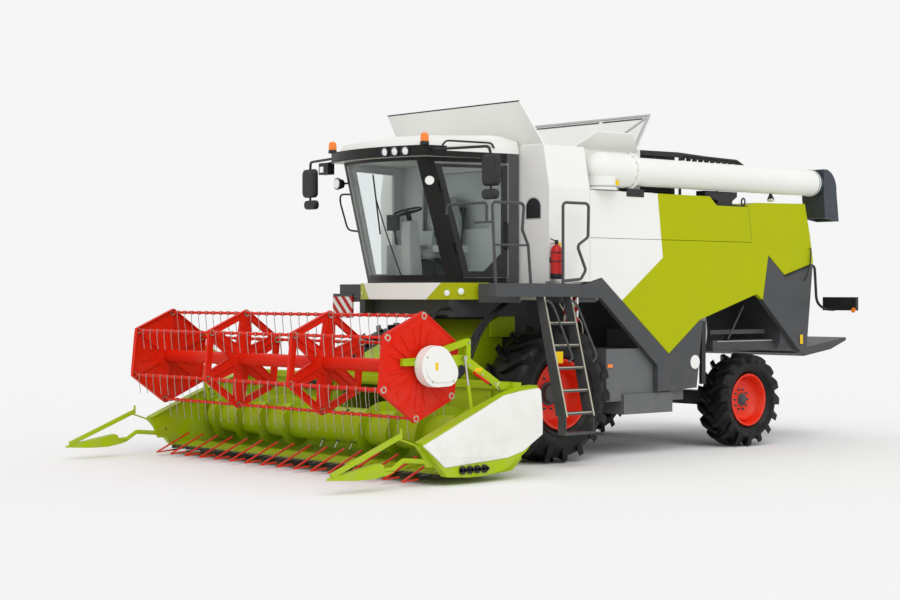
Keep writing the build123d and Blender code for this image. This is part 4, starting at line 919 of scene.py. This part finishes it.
# Beacons on the roof's corners, and the rear lamp boards on bent arms
lights = Shape("beacons_and_rear_lamps", "chassis", "black", bevel=0.002)
beacon = (0.84, 1.34, 3.6)
for sign in lights.both_sides():
    lights.paint("black")
    lights.lathe([(0, 0.0003), (0.05, 0.0003), (0.052, 0.018), (0.046, 0.04), (0, 0.04)], beacon, upwards, 32)
    lights.tube([(1.48, 7.4839, 2.3), (1.48, 7.56, 2.3), (1.48, 7.6, 1.82), (1.53, 7.7, 1.73),
                 (1.68, 7.72, 1.725)], 0.018, 10, 0.09)
    lights.block((1.5, 2.03), (7.705, 7.76), (1.715, 1.89))
    lights.paint("red_lens")
    lights.block((1.54, 1.78), (7.7602, 7.764), (1.735, 1.87))
    lights.paint("amber")
    lights.lathe([(0, 0.04), (0.047, 0.04), (0.049, 0.08), (0.043, 0.122), (0.026, 0.138), (0, 0.142)],
                 beacon, upwards, 32)
    lights.disc((1.995, 7.705, 1.72), 0.034, 0.016, (0, -1, 0), 20, 0.4)
    lights.block((1.82, 2.0), (7.7602, 7.764), (1.8, 1.87))
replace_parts(lights.done(), "lamps")

# On the platform: warning boards, the air inlet's dark arch, and the ladder's bright edges and rails
platform = Shape("platform_fittings", "chassis", "stripes", bevel=0.002)
platform.block((1.527, 1.743), (2.846, 2.866), (1.617, 1.899))
platform.block((-1.613, -1.227), (1.937, 1.963), (1.637, 1.899))
arch_angles = [pi * number / 14 for number in range(15)]
arch = [(1.265 + cos(angle) * 0.115, 2.925 + sin(angle) * 0.105) for angle in arch_angles]
surround = [(x + (x - 1.265) * 0.12, z + (z - 2.9) * 0.12) for x, z in arch]
platform.paint("pale_grey")
platform.front(surround + [(1.136, 2.785), (1.394, 2.785)], 2.6175, 2.6196)
platform.paint("black")
platform.front(arch + [(1.15, 2.8), (1.38, 2.8)], 2.615, 2.6175)
platform.paint("yellow")
platform.block((1.5203, 1.5212), (2.76, 2.81), (2.42, 2.52))
platform.block((1.88, 1.885), (2.34, 2.48), (1.16, 1.29))
ladder_top, ladder_foot, step_rise = (1.75, 1.8997), (2.11, 0.575), 0.249
ladder_slope = (ladder_foot[0] - ladder_top[0]) / (ladder_top[1] - ladder_foot[1])
platform.paint("zinc")
for number in range(5):
    z = 1.617 - number * step_rise
    x = ladder_top[0] + ladder_slope * (ladder_top[1] - z)
    platform.block((x - 0.012, x - 0.0045), (2.333, 2.733), (z - 0.01, z + 0.0015))
for back in (2.31, 2.734):
    corners = ((1.7505, 0, 1.899), (2.1105, 0, 0.575), (2.1105, 0.022, 0.575), (1.7505, 0.022, 1.899))
    platform.prism([place(x, back + width, z) for x, width, z in corners], Vector((0.0015, 0, 0)))
platform.paint("dark_grey")
for start, end in ((2.293, 2.541), (2.674, 2.928)):
    platform.tube([(1.8, start, 1.87), (1.81, start + 0.1, 1.82), (1.95, end - 0.03, 1.33), (1.98, end, 1.22),
                   (1.96, end - 0.05, 1.17)], 0.013, 8, 0.1)
platform.done()

# Extinguisher: the bottle, its foot, three straps and the valve, then the lever, the hook and the bracket
bottle = Shape("extinguisher_bottle", "chassis", "extinguisher_red", bevel=0.0015)
strap = rectangle(0.06, 0.0715, -0.006, 0.006)
bottle_side = [(0, 0.03), (0.067, 0.03), (0.068, 0.3), (0.06, 0.352), (0.034, 0.385), (0.02, 0.395),
               (0, 0.395)]
for z, segments, profile in (
        (2.1, 36, bottle_side), (2.1, 36, [(0, 0), (0.062, 0), (0.069, 0.012), (0.069, 0.056), (0, 0.056)]),
        (2.155, 36, strap), (2.3, 36, strap), (2.4, 36, strap),
        (2.49, 20, [(0, 0), (0.02, 0), (0.024, 0.03), (0.016, 0.055), (0, 0.055)])):
    bottle.lathe(profile, (1.6, 2.66, z), upwards, segments)
    bottle.paint("black")
bottle.side([(2.655, 2.535), (2.56, 2.56), (2.556, 2.552), (2.655, 2.522)], 1.592, 1.608)
bottle.side([(2.64, 2.52), (2.57, 2.5), (2.572, 2.494), (2.64, 2.508)], 1.594, 1.606)
bottle.block((1.5203, 1.54), (2.62, 2.7), (2.295, 2.345))
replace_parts(bottle.done(), "fire_extinguisher")


# Tank lids: the front lid's dark edge, and the rear lid's stiffening frame
def lid_strip(shape, hinge, lean, corners, low, high):
    """A strip on a lid that leans forwards, from (x, height) corners and two distances off its middle."""
    up = Vector((0, -sin(lean), cos(lean)))
    out = Vector((0, -cos(lean), -sin(lean)))
    shape.prism([place(x, *hinge) + up * height + out * low for x, height in corners], out * (high - low))


front_lid = ((2.63, 3.6526), radians(16))
rear_lid = ((4.45, 3.695), -radians(34))
lid_edge = Shape("tank_lid_front_edge", "lid_front", "black", bevel=0.001)
top_edge = [(-1.202, 0.506), (1.172, 0.506), (1.168, 0.519), (-1.198, 0.519)]
lid_strip(lid_edge, *front_lid, top_edge, -0.0125, 0.0125)
lid_edge.paint("pale_grey")
for x in (-0.7, 0.1, 0.9):
    lid_strip(lid_edge, *front_lid, rectangle(x - 0.02, x + 0.02, 0.06, 0.48), -0.03, -0.011)
lid_edge.done()
lid_frame = Shape("tank_lid_rear_frame", "lid_rear", "pale_grey", bevel=0.001)
for corners in (rectangle(-1.15, 1.15, 0.495, 0.522),
                [(1.125, 0.04), (1.165, 0.04), (1.15, 0.5), (1.11, 0.5)],
                [(-1.165, 0.04), (-1.125, 0.04), (-1.11, 0.5), (-1.15, 0.5)],
                [(0.62, 0.06), (0.66, 0.06), (1.12, 0.47), (1.08, 0.47)]):
    lid_strip(lid_frame, *rear_lid, corners, 0.011, 0.025)
lid_frame.paint("dark_grey")
for left, right in ((-1.08, 0.3), (0.36, 1.04)):
    lid_strip(lid_frame, *rear_lid, rectangle(left, right, 0.455, 0.478), 0.0112, 0.0135)
lid_frame.done()

# Unloading tube: flange bolts, seams, end rings and a work lamp
tube_x, tube_z = 1.45, 3.39
tube = Shape("unloading_tube_fittings", "unloader", "zinc", bevel=0.001)
for angle in turns(14):
    x, z = tube_x + cos(angle) * 0.213, tube_z + sin(angle) * 0.213
    for back, facing in ((3.95, -1), (4.0, 1)):
        tube.disc((x, back, z), 0.0075, 0.008, (0, facing, 0), 6)
tube.paint("white")
for back in (4.03, 5.2, 6.36):
    seam = [(0.169, -0.01), (0.1725, -0.008), (0.1725, 0.008), (0.169, 0.01)]
    tube.lathe(seam, (tube_x, back, tube_z), backwards)
tube.paint("pale_grey")
tube.lathe([(0.169, 0), (0.178, 0.002), (0.178, 0.02), (0.169, 0.022)], (tube_x, 7.475, tube_z), backwards)
tube.lathe([(0.189, 0), (0.197, 0.003), (0.197, 0.018), (0.189, 0.02)], (tube_x, 3.53, 3.18), upwards)
tube.paint("yellow")
tube.block((1.6275, 1.6285), (3.6, 3.66), (3.2, 3.26))
lamp_place, lamp_axis = (tube_x, 6.68, 3.165), (0.3, -0.3, -0.9)
tube.paint("black")
tube.block((tube_x - 0.012, tube_x + 0.012), (6.66, 6.7), (3.185, 3.222))
tube.lathe([(0, -0.03), (0.03, -0.025), (0.045, 0.015), (0.045, 0.03), (0, 0.03)], lamp_place, lamp_axis, 24)
tube.paint("lamp")
tube.lathe([(0, 0.03), (0.04, 0.03), (0.03, 0.036), (0, 0.038)], lamp_place, lamp_axis, 24)
tube.done()

# Behind the tube: the dark screen beside the cooler, its louvres, and the lifting eye
deck = Shape("deck_fittings", "chassis", "black", bevel=0.002)
deck.side([(4.5, 3.7), (5.34, 3.71), (6.45, 3.662), (6.63, 3.6), (6.62, 3.56), (6.44, 3.612), (5.34, 3.645),
           (4.5, 3.64)], 1.03, 1.052)
for number in range(9):
    back, z = 5.45 + number * 0.115, 3.615 - number * 0.004
    deck.block((0.99, 1.03), (back, back + 0.05), (z, z + 0.035))
for number in range(14):
    z = 3.2 + number * 0.033
    deck.block((1.0003, 1.012), (4.56, 5.28), (z, z + 0.014))
deck.block((1.4, 1.5265), (3.9, 4.2), (3.085, 3.178))
deck.paint("dark_grey")
deck.lathe(round_section(0.045, 0.011), (1.42, 6.167, 3.1), (0.4, 1, 0), 24)
deck.disc((1.42, 6.167, 3.0285), 0.035, 0.02, upwards)
deck.done()

# Sides and rear: seams, handle, the blank round plates, and the mechanism above the rear axle
sides = Shape("side_and_rear_fittings", "chassis", "black", bevel=0.0015)
for sign in sides.both_sides():
    sides.paint("black")
    sides.tube([(1.521, 7.4, 2.53), (1.545, 7.4, 2.52), (1.545, 7.37, 2.27), (1.545, 7.28, 2.12),
                (1.521, 7.275, 2.11)], 0.009, 8, 0.03)
    sides.block((1.47, 1.514), (5.262, 5.335), (0.82, 1.6))
    sides.side([(6.1485, 3.02), (6.153, 3.02), (6.2185, 2.59), (6.214, 2.59)], 1.5202, 1.5208)
    sides.side([(6.895, 2.172), (7.425, 2.316), (7.425, 2.292), (6.905, 2.15)], 1.5202, 1.5212)
    sides.paint("white")
    sides.disc((1.5203, 5.128, 1.096), 0.085, 0.0025, segments=40)
    sides.paint("amber")
    sides.block((1.4403, 1.449), (3.66, 3.74), (1.062, 1.102))
    sides.paint("dark_grey")
    sides.block((1.16, 1.3), (5.72, 7.02), (1.205, 1.345))
    sides.block((1.2, 1.26), (5.72, 6.8), (1.42, 1.475))
    sides.tube([(1.33, 6.28, 1.78), (1.33, 5.98, 1.36)], 0.013, 8)
    sides.paint("pale_grey")
    sides.block((1.3, 1.306), (5.8, 6.94), (1.325, 1.335))
    for back, radius in ((5.4, 0.02), (5.455, 0.016), (5.495, 0.014)):
        sides.tube([(1.34, back, 1.72), (1.36, back + 0.04, 1.45), (1.34, back, 1.22),
                    (1.3, back - 0.03, 1.05), (1.05, back - 0.03, 0.98)], radius, 8, 0.12)
    sides.paint("yellow")
    sides.block((1.5203, 1.521), (7.2, 7.26), (1.28, 1.4))
    # Pipes on the engine's side, behind the ladder
    sides.paint("zinc")
    for back in (3.0, 3.07, 3.15):
        sides.tube([(1.3, back, 1.82), (1.34, back + 0.08, 1.68), (1.32, back + 0.2, 1.6),
                    (1.28, back + 0.26, 1.45)], 0.01, 8, 0.06)
    # The beams that close the gap under the platform
    sides.paint("dark_grey")
    sides.block((1.0503, 1.72 if sign > 0 else 1.49), (1.966, 1.984), (1.835, 1.8995))
    sides.block((1.455, 1.49), (2.63, 3.42), (1.835, 1.8995))
sides.done()

# Hydraulic hoses from the machine to the header. A route holds the control points of the hose's line
coupling_route = [(0.802, 1.74, 1.77), (0.802, 1.64, 1.77), (0.828, 1.54, 1.745), (0.868, 1.45, 1.69),
                  (0.912, 1.37, 1.605), (0.955, 1.308, 1.495), (0.99, 1.262, 1.365), (1.03, 1.24, 1.22),
                  (1.03, 1.24, 1.115)]
side_route = [(1.25, 2.27, 1.905), (1.25, 2.225, 1.845), (1.235, 2.09, 1.765), (1.21, 1.92, 1.64),
              (1.2, 1.79, 1.48), (1.2, 1.7, 1.31), (1.2, 1.61, 1.13), (1.2, 1.46, 0.98),
              (1.2, 1.3, 0.93), (1.2, 1.255, 0.93)]


def hose(name, route, beside, sag, diameter):
    """A hose along a route, moved sideways and let down a little between its ends."""
    curve = bpy.data.curves.new(name + "_line", "CURVE")
    curve.dimensions = "3D"
    spline = curve.splines.new("NURBS")
    spline.points.add(len(route) - 1)
    for number, (x, back, z) in enumerate(route):
        slack = sag * sin(pi * number / (len(route) - 1))
        spline.points[number].co = (*place(x + beside, back - slack, z - slack), 1)
    spline.order_u = 3
    spline.use_endpoint_u = True
    line = bpy.data.objects.new(name + "_line", curve)
    path = [vertex.co.copy() for vertex in bpy.data.meshes.new_from_object(line).vertices]
    bpy.data.objects.remove(line)
    shape = Shape(name, None, "rubber", smooth=60)
    shape.tube([(point.x, point.y - reel_y, point.z) for point in path], diameter / 2, 14)
    piece = shape.done()
    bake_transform(piece)
    return piece


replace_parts(hose("header_hose_main", coupling_route, 0.0, 0.0, 0.044), "hoses")
side_hoses = ((0.0, 0.0, 0.034), (0.036, 0.018, 0.03), (-0.034, 0.03, 0.03), (0.07, -0.012, 0.026))
for number, (beside, sag, diameter) in enumerate(side_hoses):
    hose(f"header_hose_side_{number + 1}", side_route, beside, sag, diameter)
coupling = Shape("hose_couplings", "header", "dark_grey", bevel=0.003)
coupling.block((1.145, 1.29), (1.2103, 1.262), (0.885, 0.975))
coupling.paint("zinc")
for x in (1.166, 1.2, 1.236, 1.27):
    nut = [(0, 0), (0.022, 0), (0.022, 0.03), (0.017, 0.04), (0, 0.04)]
    coupling.lathe(nut, (x, 1.262, 0.93), backwards, 6)
coupling.done()

# A pale floor under even studio light, and a background as pale as the floor
background, ambient, sun_share = 0.92, 0.75, 0.35
world = bpy.data.worlds.new("studio")
bpy.context.scene.world = world
studio = Nodes(world)
studio.tree.nodes.clear()
seen, glossy, clear = (studio.add("LightPath", {}, f"Is {kind} Ray")
                       for kind in ("Camera", "Glossy", "Transmission"))
direct = studio.math("MAXIMUM", studio.math("MAXIMUM", seen, glossy), clear)
shown, lit = (studio.add("Background", {"Color": (1, 1, 1, 1), "Strength": strength})
              for strength in (background, ambient))
studio.add("OutputWorld", {0: studio.add("MixShader", {0: direct, 1: lit, 2: shown})})

lamp = bpy.data.lights.new("key", "SUN")
lamp.energy = sun_share * pi
lamp.angle = radians(50)
sun = bpy.data.objects.new("key", lamp)
sun_direction = Vector((0.62, -0.32, 0.72)).normalized()
sun.rotation_euler = sun_direction.to_track_quat("Z", "Y").to_euler()

half = 300.0
mesh = bpy.data.meshes.new("floor")
mesh.from_pydata([(-half, -half, 0), (half, -half, 0), (half, half, 0), (-half, half, 0)], [], [(0, 1, 2, 3)])
floor = bpy.data.objects.new("floor", mesh)
nodes = material("floor_paint")
albedo = background / (ambient + sun_share * sun_direction.z)
nodes.connect(nodes.blend(nodes.noise(0.4), (albedo,) * 3 + (1,), (albedo * 0.995,) * 3 + (1,)), "Base Color")
nodes.constants({"Roughness": 1.0, "Specular IOR Level": 0.0})
mesh.materials.append(nodes.owner)

# The camera where the photograph was taken from
camera = bpy.data.cameras.new("photo_camera")
camera.sensor_width = 36
camera.sensor_fit = "HORIZONTAL"
camera.lens = camera_lens
camera.clip_end = 1000
holder = bpy.data.objects.new("photo_camera", camera)
turn, drop = radians(camera_turn), radians(camera_drop)
forward = Vector((-sin(turn) * cos(drop), cos(turn) * cos(drop), -sin(drop)))
holder.location = camera_place
holder.rotation_euler = forward.to_track_quat("-Z", "Y").to_euler()

for item in (sun, floor, holder):
    bpy.context.collection.objects.link(item)
bpy.context.scene.camera = holder
bpy.context.scene.view_settings.view_transform = "Standard"
